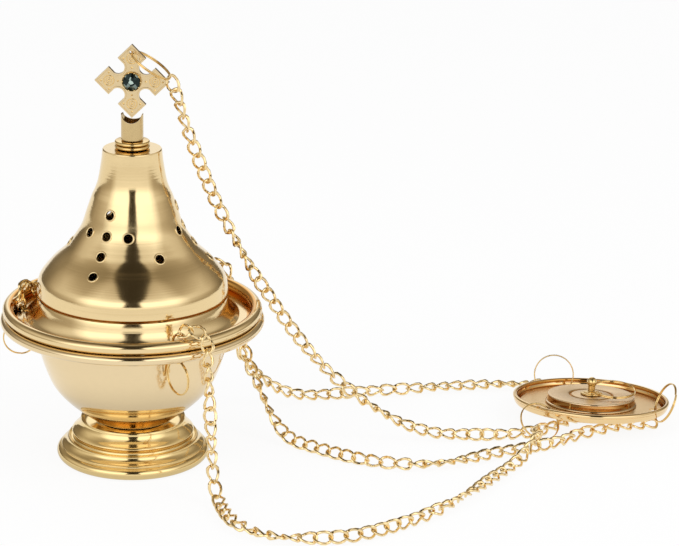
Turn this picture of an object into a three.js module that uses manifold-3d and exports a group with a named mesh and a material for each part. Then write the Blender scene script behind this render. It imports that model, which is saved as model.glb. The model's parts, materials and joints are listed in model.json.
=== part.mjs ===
// Hanging incense burner of spun and plated brass, at rest on a table: a footed bowl, a vented bell lid with
// a cross, and the small round hand plate that its four chains run to. Millimetres, +Z up, the origin under
// the foot's centre, +X towards the hand plate, -Y towards the viewer.
import * as THREE from "three";
import { mergeVertices } from "three/addons/utils/BufferGeometryUtils.js";
import Module from "manifold-3d";

const wasm = await Module();
wasm.setup();

// Clearances and facets
const GAP = 0.35;
const SLIDE_GAP = 0.5;
const ROUND_FACETS = 32;
const SMALL_FACETS = 16;
const HOLE_FACETS = 8;
const RING_FACETS = 24;
const WIRE_FACETS = 5;
const NOTCH_FACETS = 5;
const GEM_FACETS = 12;
const EDGE = 0.4;
const DRILL_OVERRUN = 1;

// Each curve of an outline is a list of points between two corners: a share of the way out and a share of
// the way up.

// Foot
const FOOT_RADIUS = 38.6;
const FOOT_BEAD_RADIUS = 3;
const FOOT_BASE_HEIGHT = 6.2;
const FOOT_STEP_INSET = 2.4;
const FOOT_LOWER_INSET = 3.3;
const FOOT_LOWER_HEIGHT = 4.2;
const FOOT_GROOVE_INSET = 2.3;
const FOOT_UPPER_INSET = 4.2;
const FOOT_UPPER_HEIGHT = 9.8;
const FOOT_DISH_DEPTH = 2.4;
const FOOT_SEAT_DROP = 1;
const FOOT_NECK_RADIUS = 18;
const FOOT_WALL = 1.2;
const FOOT_LIP_HEIGHT = 4.5;
const FOOT_HOLLOW_STEP = 0.3;
const FOOT_LOWER_CURVE = [[0, 0.12], [0.12, 0.57], [1, 1]];
const FOOT_UPPER_CURVE = [[0, 0.09], [-0.07, 0.18], [-0.05, 0.45], [0.57, 0.84], [1, 1]];
const FOOT_DISH_CURVE = [[0.19, 0.5], [0.52, 1], [0.88, 0.92]];
const BOTTOM_DISC_THICKNESS = 1.5;

// Screw that clamps the bowl on the foot
const SCREW_RADIUS = 2.5;
const SCREW_HEAD_RADIUS = 4.6;
const SCREW_HEAD_HEIGHT = 2.4;
const SCREW_TAIL = 2;
const NUT_RADIUS = 4.6;
const NUT_HEIGHT = 4;
const WASHER_RADIUS = 6;
const WASHER_THICKNESS = 1;

// Bowl, from its floor up and from its mouth out to the rim
const BOWL_WALL = 1;
const BOWL_FLOOR_INSET = 0.6;
const BOWL_DEPTH = 46.45;
const BOWL_MOUTH_RADIUS = 48.6;
const BOWL_COVE_WIDTH = 4.8;
const BOWL_COVE_HEIGHT = 4.8;
const BOWL_BEAD_RADIUS = 2.4;
const BOWL_BEAD_SINK = 0.1;
const BOWL_BEAD_JOIN = 1;
const BOWL_SIDE_CURVE = [
  [0, 0], [0.135, 0.052], [0.365, 0.172], [0.587, 0.312], [0.737, 0.443],
  [0.843, 0.603], [0.933, 0.797], [0.968, 0.926], [1, 1],
];
const BOWL_COVE_CURVE = [[0.27, 0.5], [0.63, 0.85], [1, 1]];

// Chain holes in both flanges
const CHAIN_HOLE_RADIUS = 2.3;
const CHAIN_HOLE_SETBACK = 3.6;
const CHAIN_HOLE_TO_RIM = 9.2;
const CHAIN_HOLE_FRONT = -67.3;
const CHAIN_HOLE_BACK = 52.7;
const CHAIN_HOLE_LEFT = 172.7;

// Charcoal pan: a loose dish that follows the bowl's curved side
const PAN_RISE = 8;
const PAN_HEIGHT = 9;
const PAN_WALL = 1;
const PAN_SIDE_STEPS = 3;

// Lid, with heights above its gutter
const LID_WALL = 0.9;
const LID_HEIGHT = 86;
const LID_TOP_RADIUS = 14.7;
const LID_SHOULDER_STEP = 5.9;
const LID_SHOULDER_HEIGHT = 62.4;
const LID_BELL_HEIGHT = 16.9;
const LID_BELL_BULGE = 0.7;
const LID_COVE_WIDTH = 6.6;
const LID_COVE_HEIGHT = 10.4;
const GUTTER_INNER_WIDTH = 3.4;
const GUTTER_OUTER_WIDTH = 1.8;
const GUTTER_DROP = 2.9;
const LID_RIM_INSET = 1.2;
const LID_BEAD_RADIUS = 2.9;
const LID_NECK_CURVE = [[0.02, 0.06], [0.12, 0.25], [0.34, 0.59], [0.54, 0.8]];
const LID_NECK_END = [[0.7, 0.9]];
const LID_BELL_CURVE = [
  [0, 0], [0.078, 0.176], [0.178, 0.352], [0.362, 0.527],
  [0.48, 0.616], [0.716, 0.747], [0.904, 0.879], [1, 1.033],
];
const LID_COVE_CURVE = [[0.08, 0.13], [0.27, 0.52], [0.59, 0.84], [1, 1]];

// Vent holes: three crosses of six holes, and one hole between each two crosses
const VENT_RADIUS = 2.4;
const VENT_ROWS = [56.8, 46.9, 38, 30];
const VENT_ARM_ROW = 1;
const VENT_ARM_ANGLE = 25.5;
const VENT_FIRST_AZIMUTH = -120;
const VENT_SINGLE_ANGLE = 55.5;
const VENT_SINGLE_HEIGHT = 37.4;
const VENT_DRILL_LENGTH = 8;

// Collar, post and the stud inside the lid
const COLLAR_RADIUS = 8.7;
const COLLAR_THICKNESS = 1.7;
const COLLAR_BORE_GAP = 0.4;
const POST_RADIUS = 5.5;
const POST_HEIGHT = 14.5;
const SADDLE_RADIUS = 4.7;
const STUD_RADIUS = 2.2;
const STUD_TAIL = 1.5;
const LID_NUT_RADIUS = 4.2;
const LID_NUT_HEIGHT = 3.2;
const LID_WASHER_RADIUS = 5.6;

// Cross
const CROSS_REACH = 18.4;
const CROSS_CORNER = 6.9;
const CROSS_NOTCH_RADIUS = 3.4;
const CROSS_NOTCH_START = 2.1;
const CROSS_THICKNESS = 2.2;
const CROSS_TURN = -8;
const CROSS_SEAT_GAP = 1.2;
const CROSS_HOLE_RADIUS = 1.15;
const CROSS_HOLE_DEPTH = 4.1;
const BEZEL_RADIUS = 4.6;
const BEZEL_WALL = 0.4;
const BEZEL_HEIGHT = 1.6;
const GEM_HEIGHT = 2.4;
const GEM_TABLE_SHARE = 0.55;

// Split rings: where each one's centre lies from its hole, as a heading and a rise, and how far its plane is
// rolled about that line
const RING_WIRE_RADIUS = 0.6;
const CROSS_RING_RADIUS = 11.2;
const CROSS_RING_SLOPE = 33;
const STOP_RING_RADIUS = 8.6;
const STOP_RING_TURN = 12;
const PLATE_RING_RADIUS = 10.6;
const PLATE_RING_BACK = { heading: 166, rise: 43, roll: 102 };
const PLATE_RING_FRONT = { heading: 211, rise: -11.5, roll: 133 };
const PLATE_RING_RIGHT = { heading: -64.7, rise: 36.9, roll: 64 };
const HANGING_RING_RADIUS = 11.6;
const HANGING_RING = { heading: -4, rise: 0, roll: 8.5 };

// Hand plate
const PLATE_X = 243.7;
const PLATE_Y = 46.8;
const PLATE_Z = 6.7;
const PLATE_TILT = -6.5;
const PLATE_SIDE_TILT = 1.6;
const PLATE_RADIUS = 41.7;
const PLATE_WALL_RUN = 4.3;
const PLATE_DEPTH = 5;
const PLATE_WALL = 1.2;
const PLATE_HOLE_INSET = 7.1;
const PLATE_HOLE_RADIUS = 2.8;
const PLATE_CENTRE_HOLE_RADIUS = 6;
const PLATE_BEND_RUN = 1;
const PLATE_WALL_CURVE = [[0, 0], [0.56, 0.14], [0.88, 0.46], [1, 0.8]];
const PLATE_HOLE_BACK = 102;
const PLATE_HOLE_FRONT = 228;
const PLATE_HOLE_RIGHT = -19;

// Pull disc with its knob and the eye below it
const DISC_RADIUS = 23.8;
const DISC_HEIGHT = 4.3;
const DISC_WALL = 1;
const DISC_LINE_RADIUS = 11.3;
const DISC_LINE_HEIGHT = 0.35;
const DISC_LINE_WIDTH = 0.6;
const DISC_LIP = 0.5;
const DISC_LIP_SLOPE = 0.3;
const DISC_BORE_RADIUS = 1.6;
const KNOB_FLANGE_RADIUS = 6;
const KNOB_FLANGE_HEIGHT = 1.3;
const KNOB_RIM_HEIGHT = 0.5;
const KNOB_SLOPE_RUN = 1.6;
const KNOB_NECK_RADIUS = 2;
const KNOB_NECK_HEIGHT = 3;
const KNOB_BALL_RADIUS = 2.5;
const KNOB_BALL_SINK = 0.6;
const KNOB_HOLE_RADIUS = 1.2;
const EYE_RADIUS = 3.6;
const EYE_HEIGHT = 2.6;

// Chains: the solid is a plain round bar of the same metal per length as the curb links
const CHAIN_BAR_RADIUS = 1.3;
const CHAIN_BAR_SIDES = 8;
const CHAIN_BAR_STEP = 7.8;
const CHAIN_BAR_FEWEST_STEPS = 7;
const END_LINK_LENGTH = 4.2;
const END_LINK_DROP = 0.8;

const DEGREE = Math.PI / 180;
const PLATED = { color: 0xe2b765, roughness: 0.16, metalness: 1 };
const SPUN = { color: 0xd2a95c, roughness: 0.3, metalness: 1 };
const STEEL = { color: 0xb9b5ac, roughness: 0.35, metalness: 1 };
const STONE = { color: 0x1c3a44, roughness: 0.05, metalness: 0.1 };

const burner = new THREE.Group();

// Geometry helpers

function addMesh(name, geometry, finish, parent = burner) {
  const mesh = new THREE.Mesh(geometry, new THREE.MeshStandardMaterial(finish));
  mesh.name = name;
  parent.add(mesh);
  return mesh;
}

function toSolid(geometry) {
  const plain = geometry.clone();
  plain.deleteAttribute("normal");
  plain.deleteAttribute("uv");
  const merged = mergeVertices(plain, 1e-4);
  const triVerts = new Uint32Array(merged.index.array);
  const vertProperties = merged.attributes.position.array;
  return new wasm.Manifold(new wasm.Mesh({ numProp: 3, vertProperties, triVerts }));
}

function fromSolid(solid) {
  const mesh = solid.getMesh();
  const geometry = new THREE.BufferGeometry();
  geometry.setAttribute("position", new THREE.BufferAttribute(mesh.vertProperties, 3));
  geometry.setIndex(new THREE.BufferAttribute(mesh.triVerts, 1));
  return geometry;
}

function cut(geometry, tools) {
  const solid = tools.reduce((rest, tool) => rest.subtract(toSolid(tool)), toSolid(geometry));
  return fromSolid(solid);
}

// A turned piece about +Z from [radius, height] points that climb the outside and come back down the inside.
function turned(profile, facets = ROUND_FACETS) {
  const points = profile.map(([r, z]) => new THREE.Vector2(r, z));
  const first = points[0];
  const last = points[points.length - 1];
  if (first.x > 0 || last.x > 0) points.push(first.clone());
  return new THREE.LatheGeometry(points, facets).rotateX(Math.PI / 2);
}

function upright(radius, height, bottom, facets = SMALL_FACETS) {
  const cylinder = new THREE.CylinderGeometry(radius, radius, height, facets);
  return cylinder.rotateX(Math.PI / 2).translate(0, 0, bottom + height / 2);
}

function washer(outer, inner, bottom, height, facets = SMALL_FACETS) {
  const top = bottom + height;
  return turned([[inner, bottom], [outer, bottom], [outer, top], [inner, top]], facets);
}

// Points of a circle arc in a profile, by angle in degrees from the outward direction.
function arcPoints(radius, height, size, from, to, steps) {
  return Array.from({ length: steps + 1 }, (_, i) => {
    const angle = (from + ((to - from) * i) / steps) * DEGREE;
    return [radius + size * Math.cos(angle), height + size * Math.sin(angle)];
  });
}

// A smooth profile through a few chosen points.
function smoothProfile(points, steps) {
  const curve = new THREE.SplineCurve(points.map(([r, z]) => new THREE.Vector2(r, z)));
  return curve.getPoints(steps).map((p) => [p.x, p.y]);
}

// The profile's other face, one wall away on its left-hand side, in reverse order.
function otherFace(profile, wall) {
  const moved = profile.map(([r, z], i) => {
    const before = profile[Math.max(i - 1, 0)];
    const after = profile[Math.min(i + 1, profile.length - 1)];
    const length = Math.hypot(after[0] - before[0], after[1] - before[1]);
    return [r - (wall * (after[1] - before[1])) / length, z + (wall * (after[0] - before[0])) / length];
  });
  return moved.reverse();
}

function onCircle(radius, degrees, height = 0) {
  return new THREE.Vector3(radius * Math.cos(degrees * DEGREE), radius * Math.sin(degrees * DEGREE), height);
}

// The direction from a ring's hole to its centre, and the direction of its wire in the hole.
function ringDirections({ heading, rise, roll }) {
  const level = Math.cos(rise * DEGREE);
  const outwards = onCircle(level, heading, Math.sin(rise * DEGREE));
  const side = onCircle(1, heading + 90);
  const up = new THREE.Vector3().crossVectors(outwards, side);
  const wire = side.multiplyScalar(Math.cos(roll * DEGREE)).addScaledVector(up, Math.sin(roll * DEGREE));
  return { outwards, wire };
}

// A closed wire ring that passes through the hole.
function wireRing(radius, hole, { outwards, wire }) {
  const normal = new THREE.Vector3().crossVectors(outwards, wire);
  const centre = hole.clone().addScaledVector(outwards, radius);
  const place = new THREE.Matrix4().makeBasis(outwards, wire, normal).setPosition(centre);
  return new THREE.TorusGeometry(radius, RING_WIRE_RADIUS, WIRE_FACETS, RING_FACETS).applyMatrix4(place);
}

// A round bar along a route: the plain solid of one stretch of chain.
function chainBar(route) {
  const curve = new THREE.CatmullRomCurve3(route.map((p) => new THREE.Vector3(...p)), false, "centripetal");
  const steps = Math.max(CHAIN_BAR_FEWEST_STEPS, Math.round(curve.getLength() / CHAIN_BAR_STEP));
  const section = new THREE.Shape();
  for (let i = 0; i < CHAIN_BAR_SIDES; i++) {
    const angle = (i * 2 * Math.PI) / CHAIN_BAR_SIDES;
    const x = CHAIN_BAR_RADIUS * Math.cos(angle);
    const y = CHAIN_BAR_RADIUS * Math.sin(angle);
    if (i === 0) section.moveTo(x, y);
    else section.lineTo(x, y);
  }
  section.closePath();
  return new THREE.ExtrudeGeometry(section, { steps, extrudePath: curve });
}

function hexNut(across, bore, bottom, height) {
  const nut = upright(across, height, bottom, 6);
  return cut(nut, [upright(bore, height + 2 * DRILL_OVERRUN, bottom - DRILL_OVERRUN)]);
}

// Foot: a stepped outline of three beads, hollow, with a dished top that the bowl stands in
const footBeadCircle = FOOT_RADIUS - FOOT_BEAD_RADIUS;
const footStep = FOOT_RADIUS - FOOT_STEP_INSET;
const footLowerEdge = footStep - FOOT_LOWER_INSET;
const footLowerTop = FOOT_BASE_HEIGHT + FOOT_LOWER_HEIGHT;
const footGroove = footLowerEdge - FOOT_GROOVE_INSET;
const footUpperEdge = footGroove - FOOT_UPPER_INSET;
const footTop = footLowerTop + FOOT_UPPER_HEIGHT;
const footSeat = footTop - FOOT_SEAT_DROP;
const footCeiling = footTop - FOOT_DISH_DEPTH - FOOT_WALL;

// Points of an outline between two corners, as shares of the way out and the way up.
function shares([r1, z1], [r2, z2], list) {
  return list.map(([out, up]) => [r1 + out * (r2 - r1), z1 + up * (z2 - z1)]);
}

const footOutside = [
  ...arcPoints(footBeadCircle, FOOT_BEAD_RADIUS, FOOT_BEAD_RADIUS, -90, 60, 4),
  [footStep, FOOT_BASE_HEIGHT],
  ...smoothProfile(shares([footStep, FOOT_BASE_HEIGHT], [footLowerEdge, footLowerTop], FOOT_LOWER_CURVE), 2),
  ...smoothProfile(shares([footGroove, footLowerTop], [footUpperEdge, footTop], FOOT_UPPER_CURVE), 5),
  ...shares([footUpperEdge, footTop], [FOOT_NECK_RADIUS, footTop - FOOT_DISH_DEPTH], FOOT_DISH_CURVE),
  [FOOT_NECK_RADIUS, footSeat - EDGE],
  [FOOT_NECK_RADIUS - EDGE, footSeat],
];
const screwBore = SCREW_RADIUS + GAP;
const footInside = [
  [screwBore, footSeat],
  [screwBore, footCeiling],
  [footUpperEdge - FOOT_WALL, footCeiling],
  [footGroove - FOOT_WALL, footLowerTop + FOOT_HOLLOW_STEP * FOOT_UPPER_HEIGHT],
  [footGroove - FOOT_WALL, footLowerTop],
  [footStep - FOOT_WALL, FOOT_BASE_HEIGHT],
  [footBeadCircle, FOOT_LIP_HEIGHT],
  [footBeadCircle, 0],
];
addMesh("foot", turned([...footOutside, ...footInside]), PLATED);

const bottomDiscRadius = footBeadCircle - GAP;
addMesh("foot_bottom_disc", upright(bottomDiscRadius, BOTTOM_DISC_THICKNESS, 0, ROUND_FACETS), PLATED);

// Bowl: a round body that flares into a flat flange with a rolled bead
const bowlFloor = footSeat + GAP;
const bowlFloorRadius = FOOT_NECK_RADIUS - BOWL_FLOOR_INSET;
const bowlMouthHeight = bowlFloor + BOWL_DEPTH;
const flangeRadius = BOWL_MOUTH_RADIUS + BOWL_COVE_WIDTH;
const flangeHeight = bowlMouthHeight + BOWL_COVE_HEIGHT;
const chainHoleCircle = flangeRadius + CHAIN_HOLE_SETBACK;
const bowlRimRadius = chainHoleCircle + CHAIN_HOLE_TO_RIM;
const bowlBeadCircle = bowlRimRadius - BOWL_BEAD_RADIUS;
const bowlBeadHeight = flangeHeight + BOWL_BEAD_RADIUS - BOWL_BEAD_SINK;
const bowlMouth = [BOWL_MOUTH_RADIUS, bowlMouthHeight];
const bowlSide = smoothProfile(shares([bowlFloorRadius, bowlFloor], bowlMouth, BOWL_SIDE_CURVE), 8);
const bowlFlange = smoothProfile(shares(bowlMouth, [flangeRadius, flangeHeight], BOWL_COVE_CURVE), 2);
const bowlOuterFace = [...bowlSide, ...bowlFlange, [bowlBeadCircle - BOWL_BEAD_JOIN, flangeHeight]];
const bowlProfile = [
  [screwBore, bowlFloor],
  ...bowlOuterFace,
  ...arcPoints(bowlBeadCircle, bowlBeadHeight, BOWL_BEAD_RADIUS, -90, 180, 6),
  ...otherFace(bowlOuterFace, BOWL_WALL),
  [screwBore, bowlFloor + BOWL_WALL],
];
const chainHoleAzimuths = { front: CHAIN_HOLE_FRONT, back: CHAIN_HOLE_BACK, left: CHAIN_HOLE_LEFT };

// Drills through a flange from its underside.
function chainHoles(bottom, wall) {
  return Object.values(chainHoleAzimuths).map((azimuth) => {
    const place = onCircle(chainHoleCircle, azimuth);
    const length = wall + 2 * DRILL_OVERRUN;
    const drill = upright(CHAIN_HOLE_RADIUS, length, bottom - DRILL_OVERRUN, HOLE_FACETS);
    return drill.translate(place.x, place.y, 0);
  });
}

addMesh("bowl", cut(turned(bowlProfile), chainHoles(flangeHeight, BOWL_WALL)), PLATED);

// Clamping screw, washer and nut
const bowlInsideFloor = bowlFloor + BOWL_WALL;
const washerBottom = footCeiling - GAP - WASHER_THICKNESS;
const nutBottom = washerBottom - GAP - NUT_HEIGHT;
const headBottom = bowlInsideFloor + GAP;
addMesh(
  "foot_screw",
  turned(
    [
      [0, nutBottom - SCREW_TAIL],
      [SCREW_RADIUS, nutBottom - SCREW_TAIL],
      [SCREW_RADIUS, headBottom],
      [SCREW_HEAD_RADIUS, headBottom],
      [SCREW_HEAD_RADIUS, headBottom + SCREW_HEAD_HEIGHT / 2],
      [SCREW_RADIUS, headBottom + SCREW_HEAD_HEIGHT],
      [0, headBottom + SCREW_HEAD_HEIGHT],
    ],
    SMALL_FACETS,
  ),
  STEEL,
);
addMesh("foot_washer", washer(WASHER_RADIUS, screwBore, washerBottom, WASHER_THICKNESS), STEEL);
addMesh("foot_nut", hexNut(NUT_RADIUS, screwBore, nutBottom, NUT_HEIGHT), STEEL);

// The radius of a climbing or falling profile at one height, and how far its side leans out there.
function profileAt(profile, height) {
  const i = profile.findIndex((p, n) => {
    if (n === 0) return false;
    const before = profile[n - 1];
    return Math.min(p[1], before[1]) <= height && Math.max(p[1], before[1]) >= height;
  });
  const [r1, z1] = profile[i - 1];
  const [r2, z2] = profile[i];
  return { radius: r1 + ((r2 - r1) * (height - z1)) / (z2 - z1), lean: Math.atan2(r2 - r1, z1 - z2) };
}

// Charcoal pan
const panSeat = otherFace(bowlSide, BOWL_WALL + SLIDE_GAP).reverse();
const panFloor = bowlFloor + PAN_RISE;
const panSide = Array.from({ length: PAN_SIDE_STEPS + 1 }, (_, i) => {
  const height = panFloor + (PAN_HEIGHT * i) / PAN_SIDE_STEPS;
  return [profileAt(panSeat, height).radius, height];
});
const panInside = otherFace(panSide, PAN_WALL).slice(0, -1);
const panProfile = [
  [0, panFloor],
  ...panSide,
  ...panInside,
  [panSide[0][0] - PAN_WALL, panFloor + PAN_WALL],
  [0, panFloor + PAN_WALL],
];
addMesh("charcoal_pan", turned(panProfile), STEEL);

// Lid: a bell with a shoulder, a gutter and a rolled bead
const stud = STUD_RADIUS + GAP;
const lidBeadCircle = bowlRimRadius - LID_RIM_INSET - LID_BEAD_RADIUS;
const beadsApart = BOWL_BEAD_RADIUS + LID_BEAD_RADIUS + GAP;
const lidBeadHeight = bowlBeadHeight + Math.sqrt(beadsApart ** 2 - (bowlBeadCircle - lidBeadCircle) ** 2);
const gutterHeight = lidBeadHeight - GUTTER_DROP;
const gutterInner = chainHoleCircle - GUTTER_INNER_WIDTH;
const gutterOuter = chainHoleCircle + GUTTER_OUTER_WIDTH;
const lidTop = gutterHeight + LID_HEIGHT;
const shoulderRadius = LID_TOP_RADIUS + LID_SHOULDER_STEP;
const shoulderHeight = gutterHeight + LID_SHOULDER_HEIGHT;
const coveRadius = gutterInner - LID_COVE_WIDTH;
const coveHeight = gutterHeight + LID_COVE_HEIGHT;
const bellRadius = coveRadius + LID_BELL_BULGE;
const bellHeight = gutterHeight + LID_BELL_HEIGHT;
const lidTopEdge = [LID_TOP_RADIUS, lidTop];
const lidShoulder = [shoulderRadius, shoulderHeight];
const lidCove = [coveRadius, coveHeight];
const lidBell = [
  [LID_TOP_RADIUS - EDGE, lidTop],
  [LID_TOP_RADIUS, lidTop - EDGE],
  ...smoothProfile(shares(lidTopEdge, lidShoulder, LID_NECK_CURVE), 2),
  ...shares(lidTopEdge, lidShoulder, LID_NECK_END),
  ...smoothProfile([...shares(lidShoulder, [bellRadius, bellHeight], LID_BELL_CURVE), lidCove], 9),
  ...smoothProfile(shares(lidCove, [gutterInner, gutterHeight], LID_COVE_CURVE), 3),
  [gutterOuter, gutterHeight],
];
const lidProfile = [
  ...arcPoints(lidBeadCircle, lidBeadHeight, LID_BEAD_RADIUS, -110, 180, 6),
  ...[...lidBell].reverse(),
  [stud, lidTop],
  [stud, lidTop - LID_WALL],
  ...otherFace([...lidBell].reverse(), LID_WALL).slice(0, -1),
  [gutterOuter + LID_WALL, gutterHeight - LID_WALL],
];

function vent(azimuth, row) {
  const height = gutterHeight + row;
  const { radius, lean } = profileAt(lidBell, height);
  const drill = new THREE.CylinderGeometry(VENT_RADIUS, VENT_RADIUS, VENT_DRILL_LENGTH, HOLE_FACETS);
  drill.rotateZ(-Math.PI / 2).rotateY(-lean).translate(radius, 0, height);
  return drill.rotateZ(azimuth * DEGREE);
}

const vents = [];
for (let i = 0; i < 3; i++) {
  const azimuth = VENT_FIRST_AZIMUTH + 120 * i;
  for (const row of VENT_ROWS) vents.push(vent(azimuth, row));
  for (const side of [-1, 1]) vents.push(vent(azimuth + side * VENT_ARM_ANGLE, VENT_ROWS[VENT_ARM_ROW]));
  vents.push(vent(azimuth + VENT_SINGLE_ANGLE, VENT_SINGLE_HEIGHT));
}
addMesh("lid", cut(turned(lidProfile), [...vents, ...chainHoles(gutterHeight - LID_WALL, LID_WALL)]), SPUN);

// Collar rings and the post with its saddle and stud
const collarBore = STUD_RADIUS + COLLAR_BORE_GAP;
const collarBottom = lidTop + GAP;
const upperCollarBottom = collarBottom + COLLAR_THICKNESS + GAP;
const postBottom = upperCollarBottom + COLLAR_THICKNESS + GAP;
const postTop = postBottom + POST_HEIGHT;

function collar(bottom) {
  const half = COLLAR_THICKNESS / 2;
  const rim = arcPoints(COLLAR_RADIUS - half, bottom + half, half, -90, 90, 3);
  return turned([[collarBore, bottom], ...rim, [collarBore, bottom + COLLAR_THICKNESS]], SMALL_FACETS);
}

addMesh("collar_lower", collar(collarBottom), PLATED);
addMesh("collar_upper", collar(upperCollarBottom), PLATED);

const lidWasherTop = lidTop - LID_WALL - GAP;
const lidWasherBottom = lidWasherTop - WASHER_THICKNESS;
const lidNutTop = lidWasherBottom - GAP;
const studBottom = lidNutTop - LID_NUT_HEIGHT - STUD_TAIL;
const postProfile = [
  [0, studBottom],
  [STUD_RADIUS, studBottom],
  [STUD_RADIUS, postBottom],
  [POST_RADIUS, postBottom],
  [POST_RADIUS, postTop],
  [0, postTop],
];
const postBlank = turned(postProfile, SMALL_FACETS);
const crossTurn = CROSS_TURN * DEGREE;
const saddle = new THREE.CylinderGeometry(SADDLE_RADIUS, SADDLE_RADIUS, 4 * POST_RADIUS, SMALL_FACETS);
saddle.rotateZ(crossTurn).translate(0, 0, postTop);
addMesh("post", cut(postBlank, [saddle]), PLATED);
addMesh("lid_washer", washer(LID_WASHER_RADIUS, stud, lidWasherBottom, WASHER_THICKNESS), STEEL);
addMesh("lid_nut", hexNut(LID_NUT_RADIUS, stud, lidNutTop - LID_NUT_HEIGHT, LID_NUT_HEIGHT), STEEL);

// Cross with its stone: drawn upright in X and Y, then stood up and turned
const crossCentre = postTop - SADDLE_RADIUS + CROSS_SEAT_GAP + CROSS_REACH;
const crossGroup = new THREE.Group();
crossGroup.position.z = crossCentre;
crossGroup.rotation.set(Math.PI / 2, 0, crossTurn, "ZXY");
burner.add(crossGroup);

const squareCentre = CROSS_REACH - CROSS_CORNER;
const notchCentre = CROSS_CORNER;
const crossShape = new THREE.Shape();
for (let arm = 0; arm < 4; arm++) {
  const turn = (arm * Math.PI) / 2;
  const along = Math.cos(turn);
  const across = Math.sin(turn);
  const place = (x, y) => [x * along - y * across, x * across + y * along];
  const corner = [squareCentre - CROSS_NOTCH_START, CROSS_CORNER - CROSS_NOTCH_START];
  const from = Math.atan2(corner[1] - notchCentre, corner[0] - notchCentre);
  const to = Math.atan2(corner[0] - notchCentre, corner[1] - notchCentre) - 2 * Math.PI;
  const start = place(squareCentre, -CROSS_CORNER);
  if (arm === 0) crossShape.moveTo(...start);
  else crossShape.lineTo(...start);
  crossShape.lineTo(...place(CROSS_REACH, 0));
  crossShape.lineTo(...place(squareCentre, CROSS_CORNER));
  crossShape.lineTo(...place(...corner));
  const centre = place(notchCentre, notchCentre);
  crossShape.absarc(...centre, CROSS_NOTCH_RADIUS, from + turn, to + turn, true);
}
crossShape.closePath();
const crossHole = new THREE.Path();
crossHole.absarc(0, CROSS_REACH - CROSS_HOLE_DEPTH, CROSS_HOLE_RADIUS, 0, 2 * Math.PI, true);
crossShape.holes.push(crossHole);
const crossDepth = { depth: CROSS_THICKNESS, bevelEnabled: false, curveSegments: NOTCH_FACETS };
const crossBody = new THREE.ExtrudeGeometry(crossShape, crossDepth);
addMesh("cross", crossBody.translate(0, 0, -CROSS_THICKNESS / 2), PLATED, crossGroup);

const bezelBack = CROSS_THICKNESS / 2 + GAP;
const gemRadius = BEZEL_RADIUS - BEZEL_WALL - GAP;
const bezel = washer(BEZEL_RADIUS, BEZEL_RADIUS - BEZEL_WALL, bezelBack, BEZEL_HEIGHT);
addMesh("bezel", bezel, PLATED, crossGroup);
const gemProfile = [
  [0, bezelBack],
  [gemRadius, bezelBack],
  [gemRadius, bezelBack + GEM_HEIGHT / 2],
  [gemRadius * GEM_TABLE_SHARE, bezelBack + GEM_HEIGHT],
  [0, bezelBack + GEM_HEIGHT],
];
addMesh("gem", turned(gemProfile, GEM_FACETS), STONE, crossGroup);

// Ring through the cross's top hole, leaning down to the right, with its wire along the hole's axis there
const slope = CROSS_RING_SLOPE * DEGREE;
const crossRingHole = new THREE.Vector3(0, CROSS_REACH - CROSS_HOLE_DEPTH, 0);
const crossRingLie = {
  outwards: new THREE.Vector3(Math.cos(slope), -Math.sin(slope), 0),
  wire: new THREE.Vector3(0, 0, 1),
};
addMesh("cross_ring", wireRing(CROSS_RING_RADIUS, crossRingHole, crossRingLie), PLATED, crossGroup);

// Rings below the bowl's flange, and the end link that stands in each hole
const endLinkBottom = flangeHeight - END_LINK_DROP;
for (const [side, azimuth] of Object.entries(chainHoleAzimuths)) {
  const { x, y } = onCircle(chainHoleCircle, azimuth);
  const ringTop = new THREE.Vector3(x, y, endLinkBottom - GAP - RING_WIRE_RADIUS);
  const lie = { outwards: new THREE.Vector3(0, 0, -1), wire: onCircle(1, azimuth + STOP_RING_TURN) };
  addMesh("stop_ring_" + side, wireRing(STOP_RING_RADIUS, ringTop, lie), PLATED);
  const endLink = upright(CHAIN_BAR_RADIUS, END_LINK_LENGTH, endLinkBottom, CHAIN_BAR_SIDES);
  addMesh("chain_end_" + side, endLink.translate(x, y, 0), PLATED);
}

// Hand plate, tilted where it leans on the chains
const plateGroup = new THREE.Group();
plateGroup.position.set(PLATE_X, PLATE_Y, PLATE_Z);
plateGroup.rotation.set(PLATE_TILT * DEGREE, PLATE_SIDE_TILT * DEGREE, 0);
burner.add(plateGroup);

const plateFloorRadius = PLATE_RADIUS - PLATE_WALL_RUN;
const plateHoleCircle = PLATE_RADIUS - PLATE_HOLE_INSET;
const plateOutside = [
  [plateFloorRadius - PLATE_BEND_RUN, 0],
  ...smoothProfile(shares([plateFloorRadius, 0], [PLATE_RADIUS, PLATE_DEPTH], PLATE_WALL_CURVE), 3),
];
const halfWall = PLATE_WALL / 2;
const plateProfile = [
  [PLATE_CENTRE_HOLE_RADIUS, 0],
  ...plateOutside,
  ...arcPoints(PLATE_RADIUS - halfWall, PLATE_DEPTH - halfWall, halfWall, 30, 150, 2),
  ...otherFace(plateOutside, PLATE_WALL),
  [PLATE_CENTRE_HOLE_RADIUS, PLATE_WALL],
];
const plateHoleAzimuths = { back: PLATE_HOLE_BACK, front: PLATE_HOLE_FRONT, right: PLATE_HOLE_RIGHT };
const plateHoles = Object.values(plateHoleAzimuths).map((azimuth) => {
  const place = onCircle(plateHoleCircle, azimuth);
  const drill = upright(PLATE_HOLE_RADIUS, PLATE_WALL + 2 * DRILL_OVERRUN, -DRILL_OVERRUN, HOLE_FACETS);
  return drill.translate(place.x, place.y, 0);
});
addMesh("suspension_plate", cut(turned(plateProfile), plateHoles), PLATED, plateGroup);

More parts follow.
